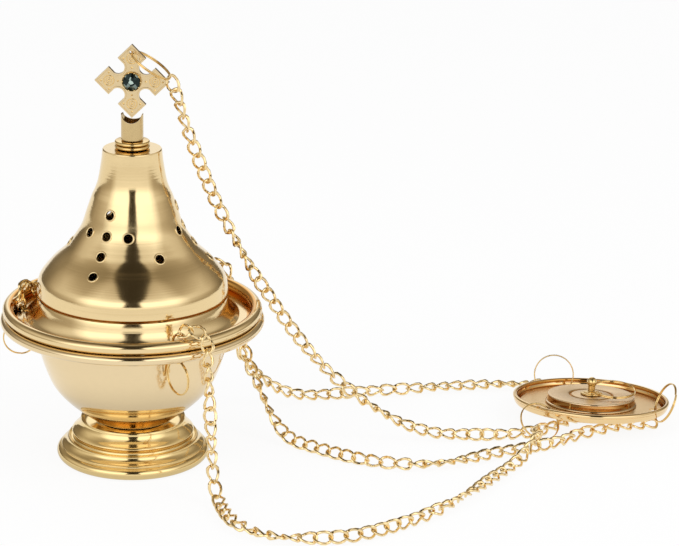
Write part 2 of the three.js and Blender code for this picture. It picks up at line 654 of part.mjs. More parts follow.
// Split rings of the plate, each through its hole and round the rim
const plateRings = { back: PLATE_RING_BACK, front: PLATE_RING_FRONT, right: PLATE_RING_RIGHT };
for (const [side, lie] of Object.entries(plateRings)) {
  const hole = onCircle(plateHoleCircle, plateHoleAzimuths[side], halfWall);
  const ring = wireRing(PLATE_RING_RADIUS, hole, ringDirections(lie));
  addMesh("plate_ring_" + side, ring, PLATED, plateGroup);
}

// Pull disc: a shallow cap with a raised line, its turned knob, and the eye that holds the middle chain
const discBottom = PLATE_WALL + SLIDE_GAP;
const discTop = discBottom + DISC_HEIGHT;
const discSide = DISC_RADIUS - DISC_LIP;
const discBore = DISC_BORE_RADIUS + GAP;
const discProfile = [
  [DISC_RADIUS, discBottom],
  [DISC_RADIUS, discBottom + DISC_WALL],
  [discSide, discBottom + DISC_WALL + DISC_LIP_SLOPE],
  [discSide, discTop - EDGE],
  [discSide - EDGE, discTop],
  [DISC_LINE_RADIUS + DISC_LINE_WIDTH, discTop],
  [DISC_LINE_RADIUS, discTop + DISC_LINE_HEIGHT],
  [DISC_LINE_RADIUS - DISC_LINE_WIDTH, discTop],
  [discBore, discTop],
  [discBore, discTop - DISC_WALL],
  [discSide - DISC_WALL, discTop - DISC_WALL],
  [discSide - DISC_WALL, discBottom],
];
addMesh("pull_disc", turned(discProfile), PLATED, plateGroup);

const knobBottom = discTop + GAP;
const neckBottom = knobBottom + KNOB_FLANGE_HEIGHT;
const ballCentre = neckBottom + KNOB_NECK_HEIGHT + KNOB_BALL_RADIUS - KNOB_BALL_SINK;
const knobHoleHeight = neckBottom + KNOB_NECK_HEIGHT / 2;
const ballStart = -Math.acos(KNOB_NECK_RADIUS / KNOB_BALL_RADIUS) / DEGREE;
const eyeTop = discTop - DISC_WALL - GAP;
const knobTail = eyeTop - EYE_HEIGHT / 2;
const knobBody = turned(
  [
    [0, knobTail],
    [DISC_BORE_RADIUS, knobTail],
    [DISC_BORE_RADIUS, knobBottom],
    [KNOB_FLANGE_RADIUS, knobBottom],
    [KNOB_FLANGE_RADIUS, knobBottom + KNOB_RIM_HEIGHT],
    [KNOB_FLANGE_RADIUS - KNOB_SLOPE_RUN, neckBottom],
    [KNOB_NECK_RADIUS, neckBottom + EDGE],
    ...arcPoints(0, ballCentre, KNOB_BALL_RADIUS, ballStart, 90, 5).slice(0, -1),
    [0, ballCentre + KNOB_BALL_RADIUS],
  ],
  SMALL_FACETS,
);

// The hanging ring goes through the knob's neck and leans on the disc.
const hangingLie = ringDirections(HANGING_RING);
const drillLength = 4 * KNOB_NECK_RADIUS;
const knobDrill = new THREE.CylinderGeometry(KNOB_HOLE_RADIUS, KNOB_HOLE_RADIUS, drillLength, HOLE_FACETS);
const drillTurn = new THREE.Quaternion().setFromUnitVectors(new THREE.Vector3(0, 1, 0), hangingLie.wire);
knobDrill.applyQuaternion(drillTurn).translate(0, 0, knobHoleHeight);
addMesh("pull_knob", cut(knobBody, [knobDrill]), PLATED, plateGroup);
const knobHole = new THREE.Vector3(0, 0, knobHoleHeight);
addMesh("hanging_ring", wireRing(HANGING_RING_RADIUS, knobHole, hangingLie), PLATED, plateGroup);

const eyeNut = washer(EYE_RADIUS, discBore, eyeTop - EYE_HEIGHT, EYE_HEIGHT);
addMesh("pull_eye", eyeNut, PLATED, plateGroup);

// Chains at rest, from the burner to the plate. The first stretch of each lies on the lid and lifts with it.
const chainRoutes = {
  chain_front_lid: [
    [22, -52.58, 74.6], [22, -52.58, 77], [22.4, -53, 80.4], [24.8, -54.4, 84.2], [28.6, -56.8, 86],
    [32.6, -59.2, 85.2], [35, -60.8, 82.4], [35.7, -61.3, 79.6],
  ],
  chain_front: [
    [35.9, -61.3, 78.9], [36.4, -61.5, 68], [37.3, -61.9, 48], [38.4, -62.6, 25], [39.4, -64.2, 11],
    [41.2, -69, 4.6], [42.8, -78, 3.5], [45, -88, 3.5], [49, -98, 3.5], [56.5, -107.5, 3.5],
    [68, -114.5, 3.5], [84, -117, 3.5], [100, -115.5, 3.5], [113, -110.5, 3.5], [126, -102.5, 3.5],
    [138, -93.5, 3.5], [150, -82, 3.5], [161, -69, 3.5], [171, -56.5, 3.5], [180, -44, 3.5],
    [189, -32.4, 3.6], [196.4, -23.6, 5.2], [202.6, -14.8, 8.6], [206.6, -6.4, 10.8],
    [208.2, 0.4, 10.4], [208.3, 4.6, 8],
  ],
  chain_back_lid: [
    [34.54, 45.34, 74.6], [34.54, 45.34, 77], [35, 45.6, 80.4], [37.8, 46.8, 84.2], [42, 48.6, 86],
    [46.2, 50.4, 85], [48.4, 51.2, 82.2], [49, 51.3, 79.6],
  ],
  chain_back: [
    [49.1, 51.2, 78.9], [50.2, 50, 70], [53, 46.4, 57], [57, 41.2, 44.5], [61, 35.6, 34],
    [66.2, 28.6, 22.8], [71.6, 21.2, 12.8], [77.2, 13.6, 6.2], [83, 6.6, 3.7], [92, -1.6, 3.5],
    [103, -10.6, 3.5], [115, -18.4, 3.5], [128, -24, 3.5], [143, -26.4, 3.5], [158, -24.6, 3.5],
    [171, -19, 3.5], [184, -12.2, 3.5], [196, -7.4, 3.5], [206, -3.4, 3.5], [215, 0.4, 3.5],
    [222, 4.6, 3.5], [229, 10.4, 3.5], [237, 16, 3.5], [248, 21, 3.5], [260, 24.8, 3.5],
    [272, 27.4, 3.5],
  ],
  chain_left_lid: [
    [-56.54, 7.24, 74.6], [-56.54, 7.24, 77], [-56.8, 5.6, 80], [-57.2, 2.4, 83], [-55.8, 0.4, 86.6],
    [-54.4, 6, 88.2], [-53.2, 13, 85.6], [-51, 21.4, 80.6], [-46.2, 30.4, 79.2], [-39.4, 38.6, 79.2],
    [-30.6, 45.9, 79.2], [-20.4, 51.3, 79.2], [-9.2, 54.4, 79.2], [2.4, 55.1, 79.2], [13.6, 53.6, 79.4],
    [22.8, 52.2, 81.6], [29.6, 53.6, 84.8], [36.2, 57.6, 84.4], [39.4, 59.8, 79.6],
  ],
  chain_left: [
    [39.9, 60.1, 78.7], [42.6, 60.2, 67], [47, 59.8, 53.6], [51.6, 59, 42.6], [56.8, 58.8, 33.4],
    [62.4, 59.8, 25.4], [68.6, 61.8, 18], [75.2, 64.8, 11.8], [82.6, 68.2, 7.2], [91, 71.2, 4.4],
    [101, 73.4, 3.5], [113, 75.8, 3.5], [126, 78.4, 3.5], [140, 80.6, 3.5], [155, 83, 3.5],
    [170, 85.4, 3.5], [184, 87.2, 3.5], [196, 88.2, 3.5], [206, 88.4, 3.5], [213.4, 87.8, 3.6],
    [219, 86.4, 4.2],
  ],
  chain_centre_lid: [
    [19.7, -2.4, 194.7], [21.9, -1.4, 188.2], [24.2, 0.2, 180], [26.5, 1.6, 172], [30.3, 3.4, 161],
    [35.2, 5.2, 147.6], [41, 6.8, 133], [47, 8, 120.4], [52.2, 8.8, 110], [56.4, 9.4, 102],
    [60.4, 9.8, 94.6], [65, 10.2, 87], [68.6, 10.5, 81.6],
  ],
  chain_centre: [
    [69, 10.5, 81], [76, 10.8, 70], [81.6, 11, 62], [87.6, 11.3, 54], [93.8, 11.6, 46.4],
    [99.8, 11.9, 39.8], [105.6, 12.2, 34.2], [111.6, 12.5, 28.8], [117.8, 12.8, 23.8],
    [124.2, 13.1, 19.2], [131, 13.4, 14.8], [138, 13.7, 10.8], [146, 14, 7.4], [155, 14.2, 4.8],
    [164, 14.2, 3.7], [175, 13.8, 3.5], [186, 13.4, 3.5], [197, 14, 3.5], [208, 17.4, 3.5],
    [218, 23, 3.5], [227, 30.2, 3.2], [235, 38, 2.9], [241, 44, 2.8],
  ],
};
for (const [name, route] of Object.entries(chainRoutes)) addMesh(name, chainBar(route), PLATED);

export default burner;
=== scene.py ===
"""Dresses the hanging incense burner with its spun brass, cross, curb chains, split rings and hand plate.

Pieces are modelled in millimetres and scaled to metres when they are finished. Each one keeps its object at
the origin and rides on a body, or on none where it moves with two, and most stand for the plain solid of the
same part.
"""

from __future__ import annotations

import json
import logging
import math
from collections.abc import Iterable, Sequence
from dataclasses import dataclass, field
from enum import Enum
from itertools import accumulate

import bmesh
import bpy
from mathutils import Matrix, Vector

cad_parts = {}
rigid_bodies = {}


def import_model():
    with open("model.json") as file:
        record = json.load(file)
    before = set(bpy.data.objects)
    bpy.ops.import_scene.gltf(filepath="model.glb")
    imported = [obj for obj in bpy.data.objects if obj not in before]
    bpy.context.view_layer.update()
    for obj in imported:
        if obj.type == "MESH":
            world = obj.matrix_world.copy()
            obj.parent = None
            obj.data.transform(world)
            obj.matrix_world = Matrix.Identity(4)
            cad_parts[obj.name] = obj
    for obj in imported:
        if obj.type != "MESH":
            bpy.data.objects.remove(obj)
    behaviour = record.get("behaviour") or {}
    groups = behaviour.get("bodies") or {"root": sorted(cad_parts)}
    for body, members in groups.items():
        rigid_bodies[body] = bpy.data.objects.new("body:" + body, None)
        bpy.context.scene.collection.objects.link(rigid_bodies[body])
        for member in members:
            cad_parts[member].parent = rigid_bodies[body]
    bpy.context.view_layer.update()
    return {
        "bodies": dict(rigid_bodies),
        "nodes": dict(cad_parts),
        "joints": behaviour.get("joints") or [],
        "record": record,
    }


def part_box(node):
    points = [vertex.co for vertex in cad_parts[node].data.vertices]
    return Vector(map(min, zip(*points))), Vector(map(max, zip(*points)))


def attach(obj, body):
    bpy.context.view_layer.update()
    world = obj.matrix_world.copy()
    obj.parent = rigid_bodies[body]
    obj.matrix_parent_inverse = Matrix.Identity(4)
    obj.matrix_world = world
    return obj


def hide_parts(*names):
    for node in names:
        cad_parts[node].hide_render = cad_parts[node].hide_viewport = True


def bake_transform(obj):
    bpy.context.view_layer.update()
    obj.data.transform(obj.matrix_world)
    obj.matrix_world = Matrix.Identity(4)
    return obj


LOG = logging.getLogger("burner")

MM = 0.001
FULL_TURN = 2 * math.pi
UP = Vector((0, 0, 1))
ROUND_STEPS = 160
SMALL_STEPS = 64
MERGE_DISTANCE = 1e-4
SMALLEST_STEP = 1e-9
SHARP_ANGLE = 38.0
HOLE_EDGE_REACH = 1.7
# Painted shade on the cross's side walls: how dark they are made, and how soft the change is, in metres.
SIDE_SHADE_TONE = 0.16
SIDE_SHADE_BLUR = 0.0002
# Softness of the edges of the painted reflection stripes, in metres.
REFLECTION_STRIPE_BLUR = 0.0003
OUTSIDE_BLUR = 0.0004
CROSS_TURN = -8.0
CHAIN_SIDES = ("front", "back", "left")
CHAIN_HOLES = tuple(math.radians(azimuth) for azimuth in (-67.3, 52.7, 172.7))
CHAIN_HOLE_CIRCLE = 57.0
CHAIN_HOLE_RADIUS = 3.6
STOP_RING_HEIGHT = 69.05
PLATE_HOLES = {"back": math.radians(102), "front": math.radians(228), "right": math.radians(-19)}
PLATE_HOLE_CIRCLE = 34.6
PLATE_WALL = 1.2
PLATE_PLACE = (243.7, 46.8, 6.7)
PLATE_TILT = (math.radians(-6.5), math.radians(1.6))

Corner = tuple[float, float]
Profile = list[Corner]
Span = tuple[float, float]
Arc = tuple[float, float, int]
Point = tuple[float, float, float]
Triple = tuple[float, float, float]
Colour = tuple[float, float, float]
Shape = bmesh.types.BMesh
Piece = bpy.types.Object
Socket = bpy.types.NodeSocket
Input = float | Sequence[float] | Socket


class Body(str, Enum):
    """The bodies that pieces ride on."""

    BURNER = "burner"
    LID = "lid"
    PAN = "pan"
    PLATE = "plate"
    DISC = "pull_disc"
    CROSS_RING = "cross_ring"


class Slot(str, Enum):
    """The record's material slots."""

    PLATED = "plated_brass"
    SPUN = "spun_brass"
    PALE = "pale_brass"
    SATIN = "satin_brass"
    PAN = "pan_steel"
    SCREW = "screw_steel"
    STONE = "stone"


# Profiles and spun shapes


def polar(radius: float, angle: float, height: float = 0.0) -> Vector:
    """Gives the point at a radius, an angle in radians and a height."""
    return Vector((radius * math.cos(angle), radius * math.sin(angle), height))


def eased(t: float) -> float:
    """Gives a share between 0 and 1 a soft start and a soft end."""
    return t * t * (3 - 2 * t)


def catmull(points: Sequence[Vector], steps_each: int) -> list[Vector]:
    """Draws a smooth line through chosen points.

    Args:
        points: The points that the line passes.
        steps_each: How many steps the line takes from one point to the next.

    Returns:
        The points of the line, the first and last chosen ones among them.
    """
    line = []
    last = len(points) - 1
    for i in range(last):
        before, start, end, after = points[max(i - 1, 0)], points[i], points[i + 1], points[min(i + 2, last)]
        for step in range(steps_each):
            t = step / steps_each
            curve = 2 * start + (end - before) * t + (2 * before - 5 * start + 4 * end - after) * t**2
            line.append(0.5 * (curve + (3 * start - before - 3 * end + after) * t**3))
    line.append(points[-1].copy())
    return line


def smooth_profile(points: Profile, steps_each: int = 8) -> Profile:
    """Draws a smooth profile through chosen points, with this many steps between two of them."""
    return [(p.x, p.y) for p in catmull([Vector(p) for p in points], steps_each)]


def shares(start: Corner, end: Corner, parts: Iterable[Span]) -> Profile:
    """Places profile points between two corners, each by its share of the way out and of the way up."""
    return [(start[0] + out * (end[0] - start[0]), start[1] + up * (end[1] - start[1])) for out, up in parts]


def level_run(start: float, end: float, height: float, steps: int) -> Profile:
    """Draws a level stretch of a profile in equal steps, with both of its ends."""
    return [(start + (end - start) * i / steps, height) for i in range(steps + 1)]


def arc(radius: float, height: float, size: float, start: float, end: float, steps: int = 12) -> Profile:
    """Draws an arc of this size about a point of a profile, between two angles in degrees from outwards."""
    turns = [math.radians(start + (end - start) * i / steps) for i in range(steps + 1)]
    return [(radius + size * math.cos(turn), height + size * math.sin(turn)) for turn in turns]


def inner_face(profile: Profile, wall: float) -> Profile:
    """Gives the other face of a sheet that runs along a profile.

    Args:
        profile: The outer face, climbing.
        wall: The sheet's thickness.

    Returns:
        The inner face, in falling order.
    """
    moved = []
    for i, (radius, height) in enumerate(profile):
        before, after = profile[max(i - 1, 0)], profile[min(i + 1, len(profile) - 1)]
        run, rise = after[0] - before[0], after[1] - before[1]
        length = math.hypot(run, rise)
        moved.append((radius - wall * rise / length, height + wall * run / length))
    return moved[::-1]


def radius_at(profile: Profile, height: float) -> tuple[float, float]:
    """Finds where a profile passes a height.

    Args:
        profile: The profile.
        height: The height to look for.

    Returns:
        The radius there, and the angle in radians by which the outside faces up.
    """
    for (r1, z1), (r2, z2) in zip(profile, profile[1:]):
        if min(z1, z2) <= height <= max(z1, z2) and z1 != z2:
            return r1 + (r2 - r1) * (height - z1) / (z2 - z1), math.atan2(r2 - r1, z1 - z2)
    raise ValueError(f"the profile doesn't pass {height}")


def spin(profile: Profile, steps: int = ROUND_STEPS, closed: bool = True) -> Shape:
    """Spins a profile about the upright axis. A profile climbs its outside and comes back down its inside.

    Args:
        profile: Radius and height of each point.
        steps: Steps of the full turn.
        closed: Whether the last point joins the first.

    Returns:
        The spun shape, with its faces pointing outwards.
    """
    bm = bmesh.new()
    verts = [bm.verts.new((radius, 0, height)) for radius, height in profile]
    edges = [bm.edges.new(pair) for pair in zip(verts, verts[1:])]
    if closed and profile[0][0] > 0 and profile[-1][0] > 0:
        edges.append(bm.edges.new((verts[-1], verts[0])))
    turn = {"cent": (0, 0, 0), "axis": (0, 0, 1), "angle": FULL_TURN, "steps": steps, "use_merge": True}
    bmesh.ops.spin(bm, geom=[*verts, *edges], **turn)
    bmesh.ops.remove_doubles(bm, verts=bm.verts, dist=MERGE_DISTANCE)
    bmesh.ops.dissolve_degenerate(bm, edges=bm.edges, dist=MERGE_DISTANCE)
    bm.normal_update()
    if spun_inwards(bm, profile):
        bmesh.ops.reverse_faces(bm, faces=bm.faces)
    return bm


def spun_inwards(bm: Shape, profile: Profile) -> bool:
    """Says whether a spun shape's faces point to the wrong side of its profile.

    Args:
        bm: The spun shape.
        profile: The profile that it was spun from.

    Returns:
        True where the faces have to be reversed.
    """
    lengths = [math.dist(a, b) for a, b in zip(profile, profile[1:])]
    i = lengths.index(max(lengths))
    (r1, z1), (r2, z2) = profile[i], profile[i + 1]
    middle = Vector(((r1 + r2) / 2, 0, (z1 + z2) / 2))
    outwards = Vector((z2 - z1, 0, r1 - r2))
    nearest = min(bm.faces, key=lambda face: (face.calc_center_median() - middle).length)
    return nearest.normal.dot(outwards) < 0


def pierce(bm: Shape, centre: Vector, direction: Vector, radius: float, depth: float = 4.0) -> None:
    """Opens a round hole in a sheet: the faces inside go, and the edge is drawn onto a circle.

    Args:
        bm: The sheet.
        centre: A point of the hole's axis, on the sheet.
        direction: The hole's axis.
        radius: The hole's radius.
        depth: How far along the axis the sheet may lie.
    """

    def aside(point: Vector) -> Vector:
        """Gives how far a point lies from the hole's axis."""
        offset = point - centre
        return offset - offset.dot(direction) * direction

    def is_near(point: Vector, reach: float) -> bool:
        """Says whether a point lies within reach of the axis, on this side of the shape."""
        return abs((point - centre).dot(direction)) < depth and aside(point).length < reach

    inside = [face for face in bm.faces if is_near(face.calc_center_median(), radius)]
    bmesh.ops.delete(bm, geom=inside, context="FACES")
    reach = radius * HOLE_EDGE_REACH
    rim = {v for e in bm.edges if e.is_boundary for v in e.verts if is_near(v.co, reach)}
    for vert in rim:
        offset = aside(vert.co)
        vert.co += offset * (radius / offset.length - 1)


def pierce_round(bm: Shape, circle: float, azimuths: Iterable[float], height: float, radius: float) -> None:
    """Opens upright round holes of one radius in a sheet, at azimuths on a circle."""
    for azimuth in azimuths:
        pierce(bm, polar(circle, azimuth, height), UP, radius)


def as_mesh(bm: Shape, name: str) -> bpy.types.Mesh:
    """Turns a shape into a mesh.

    Args:
        bm: The shape, which is freed.
        name: The mesh's name.

    Returns:
        The mesh.
    """
    mesh = bpy.data.meshes.new(name)
    bm.to_mesh(mesh)
    bm.free()
    return mesh


def in_scene(name: str, data: bpy.types.ID) -> bpy.types.Object:
    """Makes an object of a mesh, curve, lamp or camera.

    Args:
        name: The object's name.
        data: What it holds.

    Returns:
        The object, linked into the scene.
    """
    made = bpy.data.objects.new(name, data)
    bpy.context.scene.collection.objects.link(made)
    return made


def merge(bm: Shape, other: Shape, place: Matrix | None = None) -> None:
    """Adds one shape to another.

    Args:
        bm: The shape that grows.
        other: The shape that is added and freed.
        place: Where the added shape goes.
    """
    if place is not None:
        bmesh.ops.transform(other, matrix=place, verts=other.verts)
    mesh = as_mesh(other, "merge")
    bm.from_mesh(mesh)
    bpy.data.meshes.remove(mesh)


def add_copy(bm: Shape, template: bpy.types.Mesh, place: Matrix) -> None:
    """Adds a placed copy of a mesh to a shape.

    Args:
        bm: The shape that grows.
        template: The mesh, which stays as it is.
        place: Where its copy goes.
    """
    mesh = template.copy()
    mesh.transform(place)
    bm.from_mesh(mesh)
    bpy.data.meshes.remove(mesh)


def evaluated(helper: bpy.types.Object) -> Shape:
    """Takes the final shape of a helper object and removes the helper.

    Args:
        helper: A mesh with modifiers, or a curve.

    Returns:
        Its shape.
    """
    mesh = bpy.data.meshes.new_from_object(helper.evaluated_get(bpy.context.evaluated_depsgraph_get()))
    bm = bmesh.new()
    bm.from_mesh(mesh)
    data = helper.data
    bpy.data.objects.remove(helper)
    bpy.data.meshes.remove(mesh)
    (bpy.data.curves if isinstance(data, bpy.types.Curve) else bpy.data.meshes).remove(data)
    return bm


def solidified(bm: Shape, wall: float) -> Shape:
    """Gives a sheet its thickness, on the side away from its normals.

    Args:
        bm: The sheet, which is freed.
        wall: The thickness.

    Returns:
        The closed shape.
    """
    sheet = in_scene("sheet", as_mesh(bm, "sheet"))
    modifier = sheet.modifiers.new("wall", "SOLIDIFY")
    modifier.thickness = wall
    modifier.offset = -1
    return evaluated(sheet)


def wire(points: Sequence[Vector], radius: float, resolution: int = 2) -> Shape:
    """Makes a round wire along a line.

    Args:
        points: The wire's centre line.
        radius: The wire's radius.
        resolution: Steps of a quarter of its section.

    Returns:
        The wire as a closed shape.
    """
    curve = bpy.data.curves.new("wire", "CURVE")
    curve.dimensions = "3D"
    curve.bevel_depth = radius
    curve.bevel_resolution = resolution
    curve.use_fill_caps = True
    spline = curve.splines.new("POLY")
    spline.points.add(len(points) - 1)
    for target, point in zip(spline.points, points):
        target.co = (*point, 1)
    bm = evaluated(in_scene("wire", curve))
    bmesh.ops.remove_doubles(bm, verts=bm.verts, dist=MERGE_DISTANCE)
    bmesh.ops.recalc_face_normals(bm, faces=bm.faces)
    return bm


# Finishes


class NodeGroup(str, Enum):
    """The shader node groups that finishes share."""

    SPUN = "SpunLines"
    WEAR = "PlatingWear"
    STIPPLE = "Stipple"


@dataclass
class Nodes:
    """Adds nodes and links to one node tree."""

    tree: bpy.types.NodeTree

    def feed(self, node: bpy.types.Node, **links: Input) -> None:
        """Sets or links the inputs of a node.

        Args:
            node: The node.
            **links: Value or socket for each input, named by its label with underscores, or input_0 by place.
        """
        for label, value in links.items():
            key = int(label.rsplit("_", 1)[1]) if label.startswith("input_") else label.replace("_", " ")
            if isinstance(value, Socket):
                self.tree.links.new(value, node.inputs[key])
            else:
                node.inputs[key].default_value = value

    def add(self, kind: str, settings: dict | None = None, **links: Input) -> bpy.types.Node:
        """Adds one node.

        Args:
            kind: The node's type.
            settings: Its properties.
            **links: What its inputs are fed with.

        Returns:
            The new node.
        """
        node = self.tree.nodes.new(kind)
        for label, value in (settings or {}).items():
            setattr(node, label, value)
        self.feed(node, **links)
        return node

    def maths(self, operation: str, first: float | Socket, second: float | Socket = 0.0) -> Socket:
        """Adds a maths node for one or two values or sockets, and gives its output."""
        return self.add("ShaderNodeMath", {"operation": operation}, input_0=first, input_1=second).outputs[0]

    def shared(self, first: Socket, share: float, second: Socket) -> Socket:
        """Adds a share of one value to the rest of another."""
        rest = self.maths("MULTIPLY", second, 1 - share)
        return self.maths("ADD", self.maths("MULTIPLY", first, share), rest)

    def mapped(self, value: Socket, source: Span, target: Span, smooth: bool = False) -> Socket:
        """Maps a value from one span onto another and holds it there.

        Args:
            value: The value.
            source: First and last value of its span.
            target: What they become.
            smooth: Whether the change starts and ends softly.

        Returns:
            The mapped value.
        """
        settings = {"interpolation_type": "SMOOTHSTEP" if smooth else "LINEAR", "clamp": True}
        ends = {"From_Min": source[0], "From_Max": source[1], "To_Min": target[0], "To_Max": target[1]}
        return self.add("ShaderNodeMapRange", settings, Value=value, **ends).outputs[0]

    def ramp(self, value: Socket, stops: Sequence[tuple[float, float | Colour]]) -> Socket:
        """Adds a colour ramp.

        Args:
            value: What it reads.
            stops: Position and colour of each stop, or position and brightness.

        Returns:
            Its colour.
        """
        node = self.add("ShaderNodeValToRGB", Fac=value)
        elements = node.color_ramp.elements
        while len(elements) < len(stops):
            elements.new(0.5)
        for element, (position, colour) in zip(elements, stops):
            element.position = position
            element.color = (*colour, 1) if isinstance(colour, tuple) else (colour, colour, colour, 1)
        return node.outputs[0]

    def group(self, name: NodeGroup, **values: Input) -> bpy.types.bpy_prop_collection:
        """Places a shared node group with its own input values, and gives its outputs."""
        return self.add("ShaderNodeGroup", {"node_tree": bpy.data.node_groups[name.value]}, **values).outputs


def new_group(
    name: NodeGroup, inputs: dict[str, float | None], outputs: Sequence[str]
) -> tuple[Nodes, bpy.types.bpy_prop_collection]:
    """Starts a shader node group.

    Args:
        name: The group's name.
        inputs: Default of each value input, or None for a vector input.
        outputs: Names of its value outputs.

    Returns:
        The group's nodes, and the sockets that its inputs come in by.
    """
    tree = bpy.data.node_groups.new(name.value, "ShaderNodeTree")
    for label, default in inputs.items():
        kind = "NodeSocketVector" if default is None else "NodeSocketFloat"
        socket = tree.interface.new_socket(name=label, in_out="INPUT", socket_type=kind)
        if default is not None:
            socket.default_value = default
    for label in outputs:
        tree.interface.new_socket(name=label, in_out="OUTPUT", socket_type="NodeSocketFloat")
    nodes = Nodes(tree)
    return nodes, nodes.add("NodeGroupInput").outputs


def add_spun_lines_group(broad_scale: float = 0.13, fine_share: float = 0.6) -> None:
    """Builds the group for the fine rings that spinning leaves round an axis.

    Height feeds a bump, Streak is an uneven mask round the axis, and Radius is the distance from it.

    Args:
        broad_scale: Fineness of the broad rings as a share of the fine ones'.
        fine_share: Share of the fine rings in the height.
    """
    nodes, source = new_group(
        NodeGroup.SPUN, {"Vector": None, "Fineness": 900.0}, ["Height", "Streak", "Radius"]
    )
    x, y, z = nodes.add("ShaderNodeSeparateXYZ", Vector=source["Vector"]).outputs
    squares = nodes.maths("ADD", nodes.maths("POWER", x, 2.0), nodes.maths("POWER", y, 2.0))
    radius = nodes.maths("SQRT", squares)
    flat = nodes.add("ShaderNodeCombineXYZ", X=radius, Y=z).outputs[0]
    noise = ("ShaderNodeTexNoise", {"noise_dimensions": "2D"})
    fine = nodes.add(*noise, Vector=flat, Scale=source["Fineness"], Detail=2.0).outputs[0]
    broad_fineness = nodes.maths("MULTIPLY", source["Fineness"], broad_scale)
    broad = nodes.add(*noise, Vector=flat, Scale=broad_fineness, Detail=3.0).outputs[0]
    height = nodes.shared(fine, fine_share, broad)
    nodes.add("NodeGroupOutput", Height=height, Streak=broad, Radius=radius)


def add_wear_group(speck_scale: float = 14.0, cloud_share: float = 0.7) -> None:
    """Builds the group for the slow unevenness of bright plating.

    Tone is near 1 all over, and Haze is where the polish is duller.

    Args:
        speck_scale: How much finer the specks are than the clouds.
        cloud_share: Share of the clouds in the haze.
    """
    nodes, source = new_group(NodeGroup.WEAR, {"Vector": None, "Scale": 30.0, "Depth": 0.1}, ["Tone", "Haze"])
    place, scale = source["Vector"], source["Scale"]
    cloud = nodes.add("ShaderNodeTexNoise", Vector=place, Scale=scale, Detail=4.0).outputs[0]
    fine = nodes.maths("MULTIPLY", scale, speck_scale)
    speck = nodes.add("ShaderNodeTexNoise", Vector=place, Scale=fine, Detail=2.0).outputs[0]
    haze = nodes.shared(cloud, cloud_share, speck)
    tone = nodes.maths("SUBTRACT", 1.0, nodes.maths("MULTIPLY", haze, source["Depth"]))
    nodes.add("NodeGroupOutput", Tone=tone, Haze=haze)


def add_stipple_group() -> None:
    """Builds the group for a grained, struck surface, whose Height feeds a bump."""
    nodes, source = new_group(NodeGroup.STIPPLE, {"Vector": None, "Scale": 1500.0}, ["Height"])
    cells = nodes.add("ShaderNodeTexVoronoi", Vector=source["Vector"], Scale=source["Scale"])
    nodes.add("NodeGroupOutput", Height=cells.outputs["Distance"])


def new_material(name: str) -> tuple[bpy.types.Material, Nodes]:
    """Starts a material that is made of nodes.

    Args:
        name: Its name.

    Returns:
        The material and its nodes.
    """
    made = bpy.data.materials.new(name)
    made.use_nodes = True
    return made, Nodes(made.node_tree)


